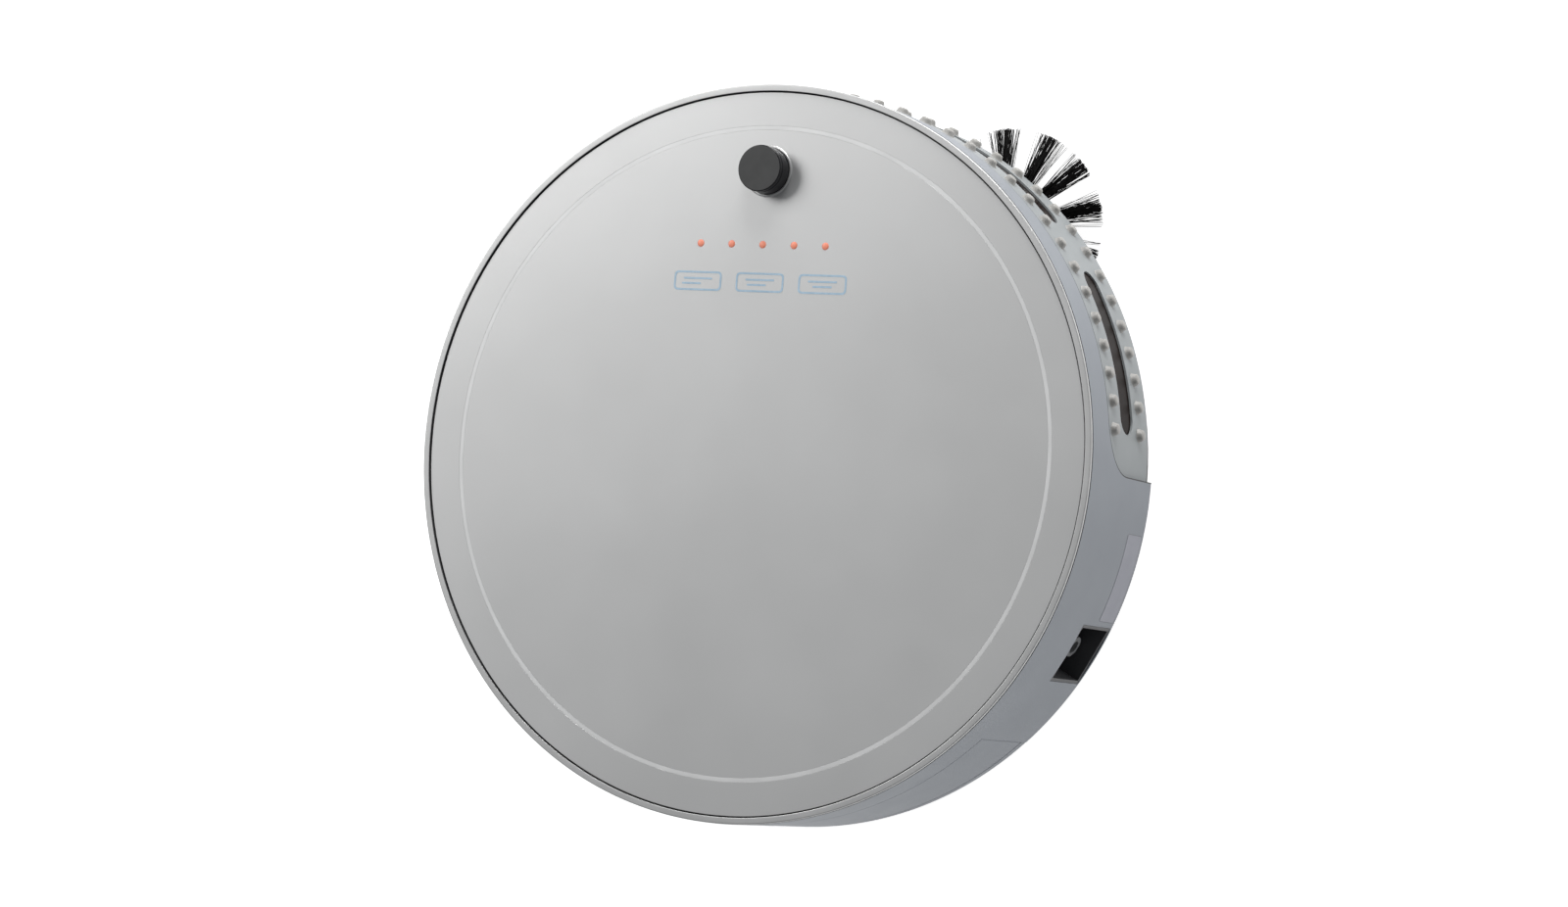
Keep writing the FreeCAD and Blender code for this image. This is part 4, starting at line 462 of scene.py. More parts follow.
def housing():
    inner = BODY_RADIUS - HOUSING_WALL
    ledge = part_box("top_plate")[0].z
    rim = rounded([
        (inner, WALL_BOTTOM, 0.4 * MM), (BODY_RADIUS, WALL_BOTTOM, 0.6 * MM),
        (BODY_RADIUS, RIM_TOP - 1.9 * MM, 0.1 * MM), (BODY_RADIUS - GROOVE, RIM_TOP - 1.75 * MM, 0),
        (BODY_RADIUS - GROOVE, RIM_TOP - 1.35 * MM, 0),
        (BODY_RADIUS - 0.1 * MM, RIM_TOP - 1.2 * MM, 0.1 * MM),
        (BODY_RADIUS - 0.1 * MM, RIM_TOP, 0.7 * MM), (inner, RIM_TOP, 0.3 * MM),
        (inner, ledge, 0), (inner - 8 * MM, ledge, 0.3 * MM), (inner - 8 * MM, ledge - 2.5 * MM, 0.3 * MM),
        (inner, ledge - 2.5 * MM, 1 * MM)], 0.3 * MM, 4)
    piece = finish_mesh("housing_shell", lathe(rim, FINE_SIDES))
    band = BUMPER[1].z + 0.5 * MM
    back = BUMPER[0].y - 0.1 * MM
    width = 0.5 * MM
    carve(piece, yz_prism(bumper_silhouette(back - width, band + width, SEAM_CORNER + width), FAR))
    # A dark strip painted along the seam as the shadow in its gap.
    seam_gasket(back, band, SEAM_CORNER, width - 0.02 * MM)
    carve(piece, travel_pocket(back, band, SEAM_CORNER))
    gap = 0.4 * MM
    carve(piece, prism(rectangle(BIN_COVER[0].x - gap, BIN_COVER[1].x + gap, -FAR, -BODY_RADIUS / 2),
                       WALL_BOTTOM - 0.01, BIN_COVER[1].z + gap))
    port_half, fit = 14 * MM, 0.1 * MM
    port = prism(rounded(rectangle(-port_half - fit, port_half + fit, PORT[0].z - fit, PORT[1].z + fit),
                         0.8 * MM), 0, 0.03)
    port.transform(standing(PORT_AZIMUTH, BODY_RADIUS - 0.02, 0) @ OUTWARDS)
    carve(piece, port)
    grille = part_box("exhaust_grille")
    slack = 0.2 * MM
    carve(piece, prism(rectangle(-FAR, -0.75 * BODY_RADIUS, grille[0].y - slack, grille[1].y + slack),
                       grille[0].z - slack, grille[1].z + slack))
    soften(piece, 0.3 * MM, 2, 50)
    apply_modifiers(piece)
    place(piece, "chassis", WALL, "shell", "upper_housing")
    piece.data.materials.append(TRIM)
    piece.data.materials.append(SEAL_RUBBER_AND_PAINTED_SHADE)
    # The rim's top takes the silver trim. The rim's inner wall takes the dark colour as painted shade,
    # standing in for the shadow that wall stands in above the plate. The fine groove below the rim is dark as
    # well.
    for face in piece.data.polygons:
        away, z = math.hypot(face.center.x, face.center.y), face.center.z
        if z > RIM_TOP - 1.3 * MM and away > inner + 0.1 * MM:
            face.material_index = 1
        elif away < inner + 0.1 * MM or z > RIM_TOP - 1.85 * MM:
            face.material_index = 2
    edge, low, high = inner - 0.1 * MM, RIM_TOP - 16 * MM, RIM_TOP - 14 * MM
    deck = lathe([(0, low), (edge, low), (edge, high), (0, high)], 144)
    place(finish_mesh("inner_deck", deck), "chassis", DARK_PLASTIC, "dark_plastic")


def top_plate():
    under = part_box("top_plate")[0].z + 1 * MM
    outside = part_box("decor_ring")[1].x
    inside = outside - 1.8 * MM
    edge = PLATE_RADIUS + 0.7 * MM
    groove = PLATE_TOP - 0.5 * MM
    profile = rounded([
        (0, under, 0), (edge, under, 0.2 * MM), (edge, PLATE_TOP, 0.25 * MM),
        (outside, PLATE_TOP, 0.08 * MM), (outside, groove, 0), (inside, groove, 0),
        (inside, PLATE_TOP, 0.08 * MM), (0, PLATE_TOP, 0)], 0, 3)
    piece = finish_mesh("top_plate_skin", lathe(profile, FINE_SIDES))
    holes = [prism(circle(TURRET_RADIUS + 0.15 * MM, 0, TURRET_MIDDLE.y, 96), under - 0.01, RIM_TOP)]
    for spot in solids("status_lights"):
        holes.append(prism(circle(1.65 * MM, middle(spot).x, middle(spot).y), under - 0.01, RIM_TOP))
    for hole in holes:
        carve(piece, hole)
    place(piece, "chassis", PLATE, "silver_plate", "top_plate")
    low, high = PLATE_TOP - 0.45 * MM, PLATE_TOP - 0.02 * MM
    line = lathe(rounded([(inside, low), (outside, low), (outside, high), (inside, high)], 0.1 * MM),
                 FINE_SIDES)
    place(finish_mesh("decor_line", line), "chassis", RING_LINE, "silver_trim", "decor_ring")
    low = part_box("rim_seal")[0].z
    start, top = edge + 0.02 * MM, low + 0.9 * MM
    seal = lathe(rounded([(start, low), (SEAL_RADIUS, low), (SEAL_RADIUS, top), (start, top)], 0.2 * MM),
                 FINE_SIDES)
    place(finish_mesh("plate_seal", seal), "chassis", SEAL_RUBBER_AND_PAINTED_SHADE, "seal_and_painted_shade", "rim_seal")


def status_lights():
    lenses = []
    for box in solids("status_lights"):
        spot = middle(box)
        radius = (box[1].x - box[0].x) / 2
        profile = [(0, PLATE_TOP - 2 * MM), (radius, PLATE_TOP - 2 * MM), (radius, PLATE_TOP),
                   (radius * 0.9, PLATE_TOP + 0.14 * MM), (radius * 0.6, PLATE_TOP + 0.26 * MM),
                   (0, PLATE_TOP + 0.32 * MM)]
        lenses.append(lathe(profile, 32, (spot.x, spot.y)))
    place(finish_mesh("status_light_lenses", joined(lenses)), "chassis", LIGHT_LENS, "orange_light",
          "status_lights")


def touch_keys():
    """Three generic key marks: a rounded frame with two bars in it, printed on the plate."""
    low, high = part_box("touch_keys")
    line = 0.85 * MM
    lift = 0.06 * MM
    width, height = 23 * MM, high.y - low.y
    pitch = (high.x - low.x - width) / 2
    marks = []
    for key in (-1, 0, 1):
        x, y = key * pitch, (low.y + high.y) / 2
        outer = rounded(rectangle(x - width / 2, x + width / 2, y - height / 2, y + height / 2), 2.2 * MM, 6)
        inner = rounded(rectangle(x - width / 2 + line, x + width / 2 - line, y - height / 2 + line,
                                  y + height / 2 - line), 1.5 * MM, 6)
        frame_shape = bmesh.new()
        rings = [[frame_shape.verts.new((p[0], p[1], z)) for p in loop]
                 for loop, z in ((outer, PLATE_TOP - lift), (outer, PLATE_TOP + lift),
                                 (inner, PLATE_TOP + lift), (inner, PLATE_TOP - lift))]
        for a, b in zip(rings, rings[1:] + rings[:1]):
            for i in range(len(a)):
                j = (i + 1) % len(a)
                frame_shape.faces.new((a[i], a[j], b[j], b[i]))
        marks.append(frame_shape)
        for offset, share, shift in ((1.1, 0.30, 0), (-1.1, 0.2, (key - 1) * 1.5)):
            bar = rounded(rectangle(x - width * share + shift * MM, x + width * share + shift * MM,
                                    y + offset * MM - line / 2, y + offset * MM + line / 2), 0.35 * MM, 4)
            marks.append(prism(bar, PLATE_TOP - lift, PLATE_TOP + lift))
    place(finish_mesh("key_marks", joined(marks)), "chassis", KEY_PRINT_WITH_PAINTED_GLOW, "key_blue", "touch_keys")


def turret():
    spot = (0, TURRET_MIDDLE.y)
    foot, top = PLATE_TOP, TURRET_CAP[1].z
    seat = TURRET_CAP[0].z
    r = TURRET_RADIUS
    ring = rounded([(r + 0.1 * MM, foot - 0.6 * MM), (r + 1.1 * MM, foot - 0.05 * MM),
                    (r + 1.1 * MM, foot + 0.35 * MM), (r + 0.7 * MM, foot + 0.7 * MM),
                    (r + 0.1 * MM, foot + 0.7 * MM)], 0.15 * MM, 4)
    place(finish_mesh("turret_foot_ring", lathe(ring, 96, spot)), "chassis", TRIM, "silver_trim",
          "turret_base_ring")
    inner = r - 1.4 * MM
    lens = rounded([(inner, foot - 3 * MM), (r, foot - 3 * MM), (r, seat - 0.9 * MM),
                    (r - 0.25 * MM, seat - 0.7 * MM),
                    (r - 0.25 * MM, seat - 0.1 * MM), (inner, seat - 0.1 * MM)], 0.12 * MM, 4)
    place(finish_mesh("turret_lens_tube", lathe(lens, 96, spot)), "chassis", BLACK_GLOSS, "turret_black",
          "turret_lens")
    cap = rounded([(0, seat - 0.1 * MM, 0), (r, seat - 0.1 * MM, 0.15 * MM), (r, top, 0.55 * MM),
                   (0, top, 0)], 0, 6)
    piece = place(finish_mesh("turret_cap_disc", lathe(cap, 96, spot)), "chassis", CAP_GREY, "turret_grey",
                  "turret_cap")
    piece.data.materials.append(BLACK_GLOSS)
    for face in piece.data.polygons:
        away = math.hypot(face.center.x - spot[0], face.center.y - spot[1])
        if away > r - 0.35 * MM:
            face.material_index = 1


# ---- bumper ------------------------------------------------------------------------------------

def stadium(half_width, half_height, steps=10):
    """Outline of a bar with round ends."""
    straight = half_width - half_height
    points = []
    for side, begin in ((1, -90), (-1, 90)):
        for i in range(steps + 1):
            a = math.radians(begin + 180 * i / steps)
            points.append((side * straight + half_height * math.cos(a), half_height * math.sin(a)))
    return points


def windows():
    """(azimuth, height, half width, half height) of each sensor window."""
    found = []
    for box in solids("sensor_windows"):
        low, high = box
        tips = [Vector((x, y - BUMPER_Y)) for x in (low.x, high.x) for y in (low.y, high.y)]
        ends = sorted(tips, key=lambda p: abs(p.length - BUMPER_RADIUS))[:2]
        span = abs((azimuth_of(ends[0]) - azimuth_of(ends[1]) + 180) % 360 - 180)
        along = sum(math.radians(azimuth_of(e)) for e in ends) / 2
        half = BUMPER_RADIUS * math.sin(math.radians(span / 2))
        found.append((math.degrees(along), middle(box).z, half, (high.z - low.z) / 2))
    return found


def on_bumper(azimuth, radius, height):
    """Like standing, about the middle of the bumper's arc."""
    return Matrix.Translation((0, BUMPER_Y, 0)) @ standing(azimuth, radius, height) @ OUTWARDS


def bumper():
    low, high = BUMPER[0].z, BUMPER[1].z
    inner = BUMPER_RADIUS - BUMPER_WALL
    profile = rounded([(inner, low, 0.4 * MM), (BUMPER_RADIUS, low, 0.9 * MM),
                       (BUMPER_RADIUS, high, 0.7 * MM), (inner, high, 0.3 * MM)], 0, 4)
    piece = finish_mesh("bumper_skin", lathe(profile, FINE_SIDES, (0, BUMPER_Y)))
    carve(piece, yz_prism(bumper_silhouette(BUMPER[0].y, high + 0.2 * MM, SEAM_CORNER), FAR), "INTERSECT")
    for azimuth, height, half_width, half_height in windows():
        gap = 0.2 * MM
        slot = prism(stadium(half_width + gap, half_height + gap), 0, 0.03)
        slot.transform(on_bumper(azimuth, BUMPER_RADIUS - 0.02, height))
        carve(piece, slot)
    soften(piece, 0.35 * MM, 3, 50)
    place(piece, "bumper", BUMPER_PAINT, "bumper", "bumper_shell")
    behind, face = BUMPER_RADIUS - 2.2 * MM, BUMPER_RADIUS - 0.8 * MM
    panes = finish_mesh("window_panes", lathe(
        [(behind, low), (face, low), (face, high), (behind, high)], FINE_SIDES, (0, BUMPER_Y)))
    slots = []
    for azimuth, height, half_width, half_height in windows():
        slot = prism(stadium(half_width, half_height), 0, 0.03)
        slot.transform(on_bumper(azimuth, BUMPER_RADIUS - 0.02, height))
        slots.append(slot)
    carve(panes, joined(slots), "INTERSECT")
    soften(panes, 0.2 * MM, 2, 50)
    place(panes, "bumper", WINDOW, "window_dark", "sensor_windows")


def bumper_nubs():
    """Rubber studs: a flared foot, a tapering side and a softly domed head."""
    rise = NUB_TIP - BUMPER_RADIUS
    section = [(3.15, -0.02), (2.95, 0.06), (2.75, 0.18), (2.55, 0.42), (2.35, 0.66), (2.15, 0.82),
               (1.75, 0.92), (1.0, 0.98), (0, 1.0)]
    studs = []
    for box in solids("bumper_nubs"):
        spot = middle(box) - Vector((0, BUMPER_Y, 0))
        stud = lathe([(r * MM, share * rise) for r, share in section] + [(0, -0.4 * MM),
                                                                         (3.15 * MM, -0.4 * MM)], 20)
        stud.transform(on_bumper(azimuth_of(spot), BUMPER_RADIUS - 0.02 * MM, spot.z))
        studs.append(stud)
    place(finish_mesh("bumper_studs", joined(studs), 60), "bumper", NUB_RUBBER, "nub_rubber", "bumper_nubs")


# ---- brushes -----------------------------------------------------------------------------------

def strand(shape, points, root, tip, facets=3):
    """A thin tapering fibre along points."""
    count = len(points)
    rings = []
    for i, point in enumerate(points):
        ahead = (points[min(i + 1, count - 1)] - points[max(i - 1, 0)]).normalized()
        side = ahead.orthogonal().normalized()
        over = ahead.cross(side)
        radius = root + (tip - root) * i / (count - 1)
        rings.append([shape.verts.new(point + (side * math.cos(a) + over * math.sin(a)) * radius)
                      for a in (2 * math.pi * k / facets for k in range(facets))])
    for ring, following in zip(rings, rings[1:]):
        for k in range(facets):
            j = (k + 1) % facets
            shape.faces.new((ring[k], ring[j], following[j], following[k]))
    shape.faces.new(list(reversed(rings[0])))
    shape.faces.new(rings[-1])


def side_brush():
    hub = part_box("side_brush_hub")
    spot = middle(hub)
    tufts = [middle(box) for box in solids("side_brush_bristles")]
    reach = 45 * MM
    root_z = hub[0].z + 2.4 * MM
    tip_z = 3.0 * MM
    hairs = 130  # of a tuft
    shape = bmesh.new()
    sleeves = []
    for tuft in tufts:
        azimuth = math.atan2(tuft.y - spot.y, tuft.x - spot.x)
        out = Vector((math.cos(azimuth), math.sin(azimuth), 0))
        across = Vector((-out.y, out.x, 0))
        for i in range(hairs):
            fan = random.gauss(0, 3.8) if i % 9 else random.uniform(-11, 11)
            turn = Matrix.Rotation(math.radians(fan), 3, "Z")
            away = turn @ out
            start = (spot + out * 8.5 * MM + across * random.uniform(-1.3, 1.3) * MM)
            start.z = root_z + random.uniform(-0.9, 0.9) * MM
            end = spot + away * reach * (1 - abs(random.gauss(0, 0.012)))
            end.z = tip_z + random.uniform(-1.7, 1.7) * MM
            sway = across * random.gauss(0, 0.5) * MM
            points = [start.lerp(end, t) + sway * math.sin(math.pi * t) for t in (0, 0.33, 0.66, 1)]
            strand(shape, points, 0.16 * MM, 0.11 * MM)
        sleeve = lathe(rounded([(0, 0, 0), (1.9 * MM, 0, 0.3 * MM), (1.6 * MM, 5 * MM, 0.4 * MM),
                                (0, 5 * MM, 0)], 0), 16)
        sleeve.transform(Matrix.Translation(spot + out * 6.5 * MM + Vector((0, 0, root_z - spot.z)))
                         @ Matrix.Rotation(azimuth, 4, "Z") @ Matrix.Rotation(math.radians(94), 4, "Y"))
        sleeves.append(sleeve)
    place(finish_mesh("side_brush_tufts", shape, 80), "side_brush", BRISTLE_BLACK, "bristle_black",
          "side_brush_bristles")
    low, high = hub
    profile = rounded([(0, low.z, 0), (3.4 * MM, low.z, 0.3 * MM), (3.4 * MM, low.z + 1.2 * MM, 0.2 * MM),
                       (4.6 * MM, low.z + 1.2 * MM, 0.2 * MM), (4.6 * MM, low.z, 0.3 * MM),
                       (7 * MM, low.z, 0.6 * MM), (9 * MM, low.z + 2 * MM, 0.8 * MM),
                       (9 * MM, low.z + 4.8 * MM, 0.5 * MM), (2.5 * MM, low.z + 4.8 * MM, 0.2 * MM),
                       (2.5 * MM, high.z, 0.3 * MM), (0, high.z, 0)], 0, 4)
    sleeves.append(lathe(profile, 64, (spot.x, spot.y)))
    place(finish_mesh("side_brush_disc", joined(sleeves)), "side_brush", DARK_PLASTIC, "dark_plastic",
          "side_brush_hub")


def main_brush():
    """Six rows of tufts, each row a shallow chevron round the core."""
    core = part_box("main_brush_core")
    axis = Vector((0, (core[0].y + core[1].y) / 2, (core[0].z + core[1].z) / 2))
    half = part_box("main_brush_bristles")[1].x - 1 * MM
    core_radius, reach = 8.9 * MM, 19.4 * MM
    rows, tufts, hairs = 6, 62, 7

    def twist(row, share):
        """Angle round the core of a row's tuft, share of the way from the middle to an end."""
        return math.radians(row * 60 + 26 * (1 - share) - 13)

    shape = bmesh.new()
    for row in range(rows):
        for i in range(tufts):
            x = -half + 2 * half * i / (tufts - 1)
            root_angle = twist(row, abs(x) / half)
            for _ in range(hairs):
                a = root_angle + random.uniform(-0.07, 0.07)
                b = root_angle + random.gauss(0, 0.05)
                ends = [Vector((x + random.uniform(-0.9, 0.9) * MM, axis.y + r * math.cos(t),
                                axis.z + r * math.sin(t)))
                        for r, t in ((core_radius, a), (reach * random.uniform(0.975, 1), b))]
                strand(shape, [ends[0], ends[0].lerp(ends[1], 0.5), ends[1]], 0.16 * MM, 0.12 * MM)
    place(finish_mesh("main_brush_tufts", shape, 80), "main_brush", BRISTLE_BLUE, "bristle_blue",
          "main_brush_bristles")
    length = core[1].x
    sections = rounded([(0, core[0].x, 0), (2.9 * MM, core[0].x, 0.4 * MM), (2.9 * MM, -half - 2.2 * MM, 0),
                        (9 * MM, -half - 2.2 * MM, 0.5 * MM), (9 * MM, -half - 0.6 * MM, 0.3 * MM),
                        (8.4 * MM, -half, 0.3 * MM), (8.4 * MM, half, 0.3 * MM),
                        (9 * MM, half + 0.6 * MM, 0.3 * MM),
                        (9 * MM, half + 2.2 * MM, 0.5 * MM), (2.9 * MM, half + 2.2 * MM, 0),
                        (2.9 * MM, length, 0.4 * MM), (0, length, 0)], 0, 3)
    roller = lathe(sections, 64)
    section = ((8.2 * MM, -0.2), (9.6 * MM, -0.13), (9.6 * MM, 0.13), (8.2 * MM, 0.2))
    steps = 12
    ribs = []
    for row in range(rows):
        for way in (-1, 1):
            shape = bmesh.new()
            rings = []
            for i in range(steps + 1):
                x, t = way * half * i / steps, twist(row, i / steps)
                rings.append([shape.verts.new((x, axis.y + r * math.cos(t + d), axis.z + r * math.sin(t + d)))
                              for r, d in section])
            ribs.append(skin(shape, rings))
    roller.transform(Matrix.Translation(axis) @ Matrix.Rotation(math.pi / 2, 4, "Y"))
    place(finish_mesh("main_brush_roller", joined([roller] + ribs)), "main_brush", GREY_PLASTIC,
          "grey_plastic", "main_brush_core")


# ---- wheels ------------------------------------------------------------------------------------

def wheel(side, name):
    """Tyre with chevron lugs, and a dished hub with spokes. Built about X, outer face to +X."""
    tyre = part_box("tyre_" + name)
    spot = middle(tyre)
    radius, half = (tyre[1].z - tyre[0].z) / 2, (tyre[1].x - tyre[0].x) / 2
    base = radius - 1.5 * MM
    low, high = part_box("wheel_hub_" + name)
    hub_radius = (high.z - low.z) / 2
    turn = Matrix.Translation(spot) @ Matrix.Rotation(math.pi / 2 * side, 4, "Y")
    carcass = lathe(rounded([(hub_radius + 0.05 * MM, -half, 0.3 * MM), (base, -half, 1.6 * MM),
                             (base, half, 1.6 * MM), (hub_radius + 0.05 * MM, half, 0.3 * MM)], 0, 4), 144)
    parts = [carcass]
    lugs, steps = 30, 4
    for i in range(lugs):
        for way in (-1, 1):
            lug = bmesh.new()
            rings = []
            for step in range(steps + 1):
                share = step / steps
                z = way * (half - 0.35 * MM) * share
                centre = 2 * math.pi * i / lugs + 0.13 * (1 - share)
                crown = radius - 0.55 * MM * share ** 3
                rings.append([lug.verts.new((r * math.cos(a), r * math.sin(a), z)) for r, a in (
                    (base - 0.4 * MM, centre - 0.075), (crown - 0.2 * MM, centre - 0.062),
                    (crown, centre - 0.052),
                    (crown, centre + 0.052), (crown - 0.2 * MM, centre + 0.062),
                    (base - 0.4 * MM, centre + 0.075))])
            parts.append(skin(lug, rings))
    tread = joined(parts)
    tread.transform(turn)
    place(finish_mesh("tyre_tread_" + name, tread), name + "_wheel", TYRE_RUBBER, "tyre_rubber",
          "tyre_" + name)
    face = half - 0.2 * MM
    dish = rounded([(0, -half, 0), (hub_radius, -half, 0.4 * MM), (hub_radius, face, 0.6 * MM),
                    (hub_radius - 3 * MM, face, 0.6 * MM), (hub_radius - 4.5 * MM, face - 2.6 * MM, 0.8 * MM),
                    (8.5 * MM, face - 2.6 * MM, 0.8 * MM), (7.2 * MM, face - 0.2 * MM, 0.6 * MM),
                    (4 * MM, face - 0.2 * MM, 0.3 * MM), (3.6 * MM, face - 0.8 * MM, 0.2 * MM),
                    (0, face - 0.8 * MM, 0)], 0, 4)
    hub = [lathe(dish, 96)]
    spokes = 5
    for i in range(spokes):
        spoke = prism(rounded(rectangle(7 * MM, hub_radius - 3.6 * MM, -1.7 * MM, 1.7 * MM), 0.4 * MM, 2),
                      face - 3 * MM, face - 0.9 * MM, Matrix.Rotation(2 * math.pi * i / spokes, 4, "Z"))
        hub.append(spoke)
    hub = joined(hub)
    hub.transform(turn)
    piece = finish_mesh("wheel_disc_" + name, hub)
    soften(piece, 0.25 * MM, 2, 40)
    place(piece, name + "_wheel", DARK_PLASTIC, "dark_plastic", "wheel_hub_" + name)


# ---- rear, side and underside ------------------------------------------------------------------

def wall_sheet(start, end, low, high, inner, outer, corner, columns=32):
    """A sheet that follows the housing's wall between two azimuths, with rounded corners."""
    half, height = (high - low) / 2, (high + low) / 2
    shape = bmesh.new()
    rows = []
    for i in range(columns + 1):
        share = (1 - math.cos(math.pi * i / columns)) / 2
        a = math.radians(start + (end - start) * share)
        from_end = min(corner, min(share, 1 - share) * math.radians(end - start) * outer)
        top = half - corner + math.sqrt(corner ** 2 - (corner - from_end) ** 2)
        rows.append([shape.verts.new((r * math.cos(a), r * math.sin(a), height + z))
                     for r, z in ((inner, -top), (outer, -top), (outer, top), (inner, top))])
    return skin(shape, rows)


def label():
    """A blank rating label: a dark printed edge under a film that is a little smaller."""
    low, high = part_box("label_plate")
    around = sorted(azimuth_of(v.co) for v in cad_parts["label_plate"].data.vertices)
    start, end = around[0], around[-1]
    line = 0.35 * MM
    turn = math.degrees(line / BODY_RADIUS)
    under = wall_sheet(start, end, low.z, high.z, BODY_RADIUS - 0.3 * MM, BODY_RADIUS + 0.04 * MM, 1.2 * MM)
    place(finish_mesh("rating_label_edge", under), "chassis", LABEL_BORDER, "label_film", "label_plate")
    film = wall_sheet(start + turn, end - turn, low.z + line, high.z - line, BODY_RADIUS - 0.2 * MM,
                      BODY_RADIUS + 0.08 * MM, 1 * MM)
    place(finish_mesh("rating_label_film", film), "chassis", LABEL, "label_film")


def bin_cover():
    """The dust bin's curved door: rounded edges, and a fine relief line above its lower edge."""
    low, high = BIN_COVER
    half = high.x
    edge = math.degrees(math.asin(half / BODY_RADIUS))
    inner, line = BODY_RADIUS - HOUSING_WALL, BODY_RADIUS - 0.4 * MM
    profile = rounded([(inner, low.z, 0.3 * MM), (BODY_RADIUS, low.z, 0.6 * MM),
                       (BODY_RADIUS, low.z + 5 * MM, 0), (line, low.z + 5.2 * MM, 0),
                       (line, low.z + 5.6 * MM, 0), (BODY_RADIUS, low.z + 5.8 * MM, 0),
                       (BODY_RADIUS, high.z, 0.5 * MM), (inner, high.z, 0.3 * MM)], 0, 4)
    margin = 2  # degrees of spare sheet at each end, trimmed off next
    piece = finish_mesh("bin_door", lathe(profile, FINE_SIDES, (0, 0), -90 - edge - margin,
                                          2 * (edge + margin)))
    carve(piece, prism(rectangle(-half, half, -FAR, 0), low.z - 0.01, high.z + 0.01), "INTERSECT")
    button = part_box("bin_release_button")
    gap = 0.25 * MM
    carve(piece, prism(rectangle(button[0].x - gap, button[1].x + gap, -FAR, -FAR / 2),
                       button[0].z - gap, button[1].z + gap))
    soften(piece, 0.4 * MM, 3, 50)
    place(piece, "dust_bin", WALL, "shell", "bin_cover")


def release_button():
    """A push button with finger ridges, flush with the bin's door."""
    low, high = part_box("bin_release_button")
    middle_x, middle_z = (low.x + high.x) / 2, (low.z + high.z) / 2
    outline = rounded(rectangle(low.x, high.x, low.z, high.z), 2.2 * MM, 6)
    face = low.y + 0.5 * MM
    backwards = Matrix(((1, 0, 0, 0), (0, 0, -1, 0), (0, 1, 0, 0), (0, 0, 0, 1)))  # a prism's Z becomes -Y
    parts = [prism(outline, -high.y, -face, backwards)]
    for i in range(-2, 3):
        z = middle_z + i * 1.7 * MM
        ridge = rounded(rectangle(middle_x - 7.5 * MM, middle_x + 7.5 * MM, z - 0.4 * MM, z + 0.4 * MM),
                        0.35 * MM, 3)
        parts.append(prism(ridge, -face - 0.1 * MM, -low.y, backwards))
    piece = finish_mesh("release_button_cap", joined(parts))
    soften(piece, 0.2 * MM, 2, 50)
    place(piece, "release_button", BUTTON_GREY, "button_grey", "bin_release_button")


def charge_port():
    """A ribbed collar round the charging jack, and the pin in it."""
    spot = middle(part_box("charge_jack"))
    around = standing(PORT_AZIMUTH, 0, spot.z) @ OUTWARDS
    away = max(math.hypot(v.co.x, v.co.y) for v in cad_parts["charge_jack"].data.vertices)
    start = BODY_RADIUS - 22 * MM
    bore, outer, groove = 2.9 * MM, 4.9 * MM, 4.5 * MM
    rings = [(bore, away - 6 * MM, 0), (bore, away, 0.3 * MM), (outer, away, 0.5 * MM)]
    for i in range(3):
        z = away - (1.4 + 1.5 * i) * MM
        rings += [(outer, z, 0), (groove, z - 0.15 * MM, 0), (groove, z - 0.55 * MM, 0),
                  (outer, z - 0.7 * MM, 0)]
    rings += [(outer, start, 0.2 * MM), (0, start, 0), (0, away - 6 * MM, 0)]
    collar = lathe(rounded(rings, 0, 3), 48)
    collar.transform(around)
    place(finish_mesh("charge_jack_collar", collar), "chassis", GREY_PLASTIC, "grey_plastic", "charge_jack")
    pin = lathe(rounded([(0, away - 6.5 * MM, 0), (1 * MM, away - 6.5 * MM, 0),
                         (1 * MM, away - 1.2 * MM, 0.6 * MM), (0, away - 1 * MM, 0)], 0, 4), 24)
    pin.transform(around)
    place(finish_mesh("charge_jack_pin", pin), "chassis", CONTACT, "contact_metal")


def dress(node, material):
    """A CAD node that stays: welded and beveled by modifiers, with a better material."""
    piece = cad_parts[node]
    weld = piece.modifiers.new("weld", "WELD")
    weld.merge_threshold = 1e-6
    soften(piece, 0.25 * MM, 2, 40)
    even_normals(piece)
    if not piece.data.materials:
        piece.data.materials.append(material)
    for holder in piece.material_slots:
        holder.link = "OBJECT"
        holder.material = material


KEPT = {
    BLACK_PLASTIC: ["base_chassis", "obstacle_sensors", "collision_switches", "caster_wheel",
                    "fan_impeller"],
    DARK_PLASTIC: ["port_bezel", "battery_door", "ir_receiver", "exhaust_grille", "brush_head_housing",
                   "brush_drive",
                   "side_brush_drive", "wheel_well_right", "wheel_well_left", "caster_socket",
                   "filter_frame"],
    GREY_PLASTIC: ["fan_housing", "exhaust_duct", "brush_guard", "drive_unit_right", "drive_unit_left",
                   "caster_fork"],
    STEEL: ["board_screws", "underside_screws", "fan_motor", "suspension_pins", "caster_axle"],
    BOARD: ["display_board", "main_board"],
    BATTERY_WRAP: ["battery_pack"],
    CONTACT: ["charging_contacts"],
    WINDOW: ["cliff_sensors"],
    BIN_PLASTIC: ["bin_tub", "bin_lid"],
    FILTER_PAPER: ["filter_media"],
    BUTTON_GREY: ["power_switch"],
}


# ---- stage, lights and camera ------------------------------------------------------------------

def floor():
    material = bpy.data.materials.new("pale_floor")
    material.use_nodes = True
    tree = material.node_tree
    shader = tree.nodes["Principled BSDF"]
    shader.inputs["Roughness"].default_value = 0.9
    shader.inputs["Base Color"].default_value = (0.5, 0.5, 0.5, 1)
    shader.inputs["Emission Color"].default_value = (1, 1, 1, 1)
    shader.inputs["Emission Strength"].default_value = 0.93
    shape = prism(circle(6, sides=64), -0.02, -0.0002)
    ground = finish_mesh("floor", shape)
    ground.data.materials.append(material)


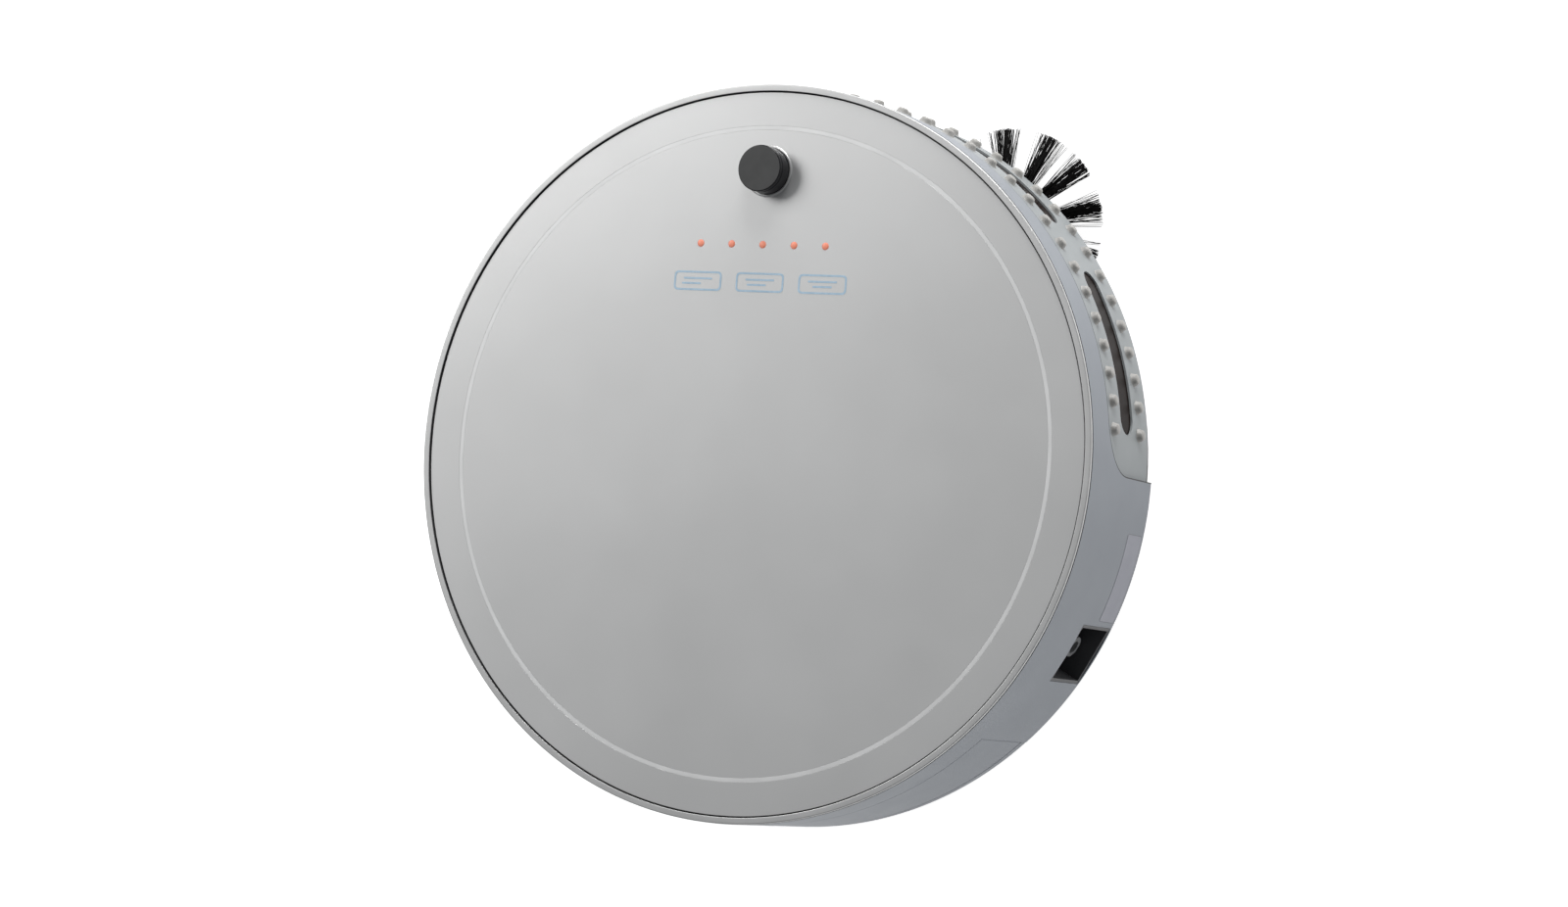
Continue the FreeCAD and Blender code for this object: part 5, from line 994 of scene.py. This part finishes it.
def area_light(name, place_at, size, power):
    """A round soft light that points at the object's middle."""
    lamp = bpy.data.lights.new(name, "AREA")
    lamp.shape = "DISK"
    lamp.size = size
    lamp.energy = power
    holder = bpy.data.objects.new(name, lamp)
    holder.location = place_at
    holder.rotation_mode = "QUATERNION"
    holder.rotation_quaternion = (Vector(place_at) - Vector((0, 0, 0.06))).to_track_quat("Z", "Y")
    bpy.context.scene.collection.objects.link(holder)


def lights():
    world = bpy.data.worlds.new("soft_studio")
    world.use_nodes = True
    world.node_tree.nodes["Background"].inputs["Color"].default_value = (0.93, 0.96, 1.0, 1)
    world.node_tree.nodes["Background"].inputs["Strength"].default_value = 0.22
    bpy.context.scene.world = world
    area_light("key_light", (-2.4, 1.5, 2.6), 2.2, 70)
    area_light("front_light", (0.4, 2.8, 0.9), 1.8, 86)
    area_light("side_light", (2.8, 0.6, 0.5), 1.2, 2.5)


CAMERA_AIM = Vector((18.8 * MM, 0.1 * MM, RIM_TOP))
CAMERA_DISTANCE = 1.8091
CAMERA_AZIMUTH = -8.085  # from +X towards +Y
CAMERA_ELEVATION = 63.737
CAMERA_ROLL = -78.074  # about the line of sight


def camera():
    lens = bpy.data.cameras.new("view")
    lens.lens = 97
    lens.sensor_width = 36
    holder = bpy.data.objects.new("view", lens)
    a, e = math.radians(CAMERA_AZIMUTH), math.radians(CAMERA_ELEVATION)
    back = Vector((math.cos(a) * math.cos(e), math.sin(a) * math.cos(e), math.sin(e)))
    holder.location = CAMERA_AIM + back * CAMERA_DISTANCE
    upright = back.to_track_quat("Z", "Y").to_matrix()
    holder.rotation_euler = (upright @ Matrix.Rotation(math.radians(CAMERA_ROLL), 3, "Z")).to_euler()
    bpy.context.scene.collection.objects.link(holder)
    bpy.context.scene.camera = holder


bpy.context.scene.view_settings.view_transform = "Standard"
camera()
lights()
floor()
housing()
top_plate()
status_lights()
touch_keys()
turret()
bumper()
bumper_nubs()
side_brush()
main_brush()
wheel(1, "right")
wheel(-1, "left")
label()
bin_cover()
release_button()
charge_port()
for material, nodes in KEPT.items():
    for node in nodes:
        dress(node, material)
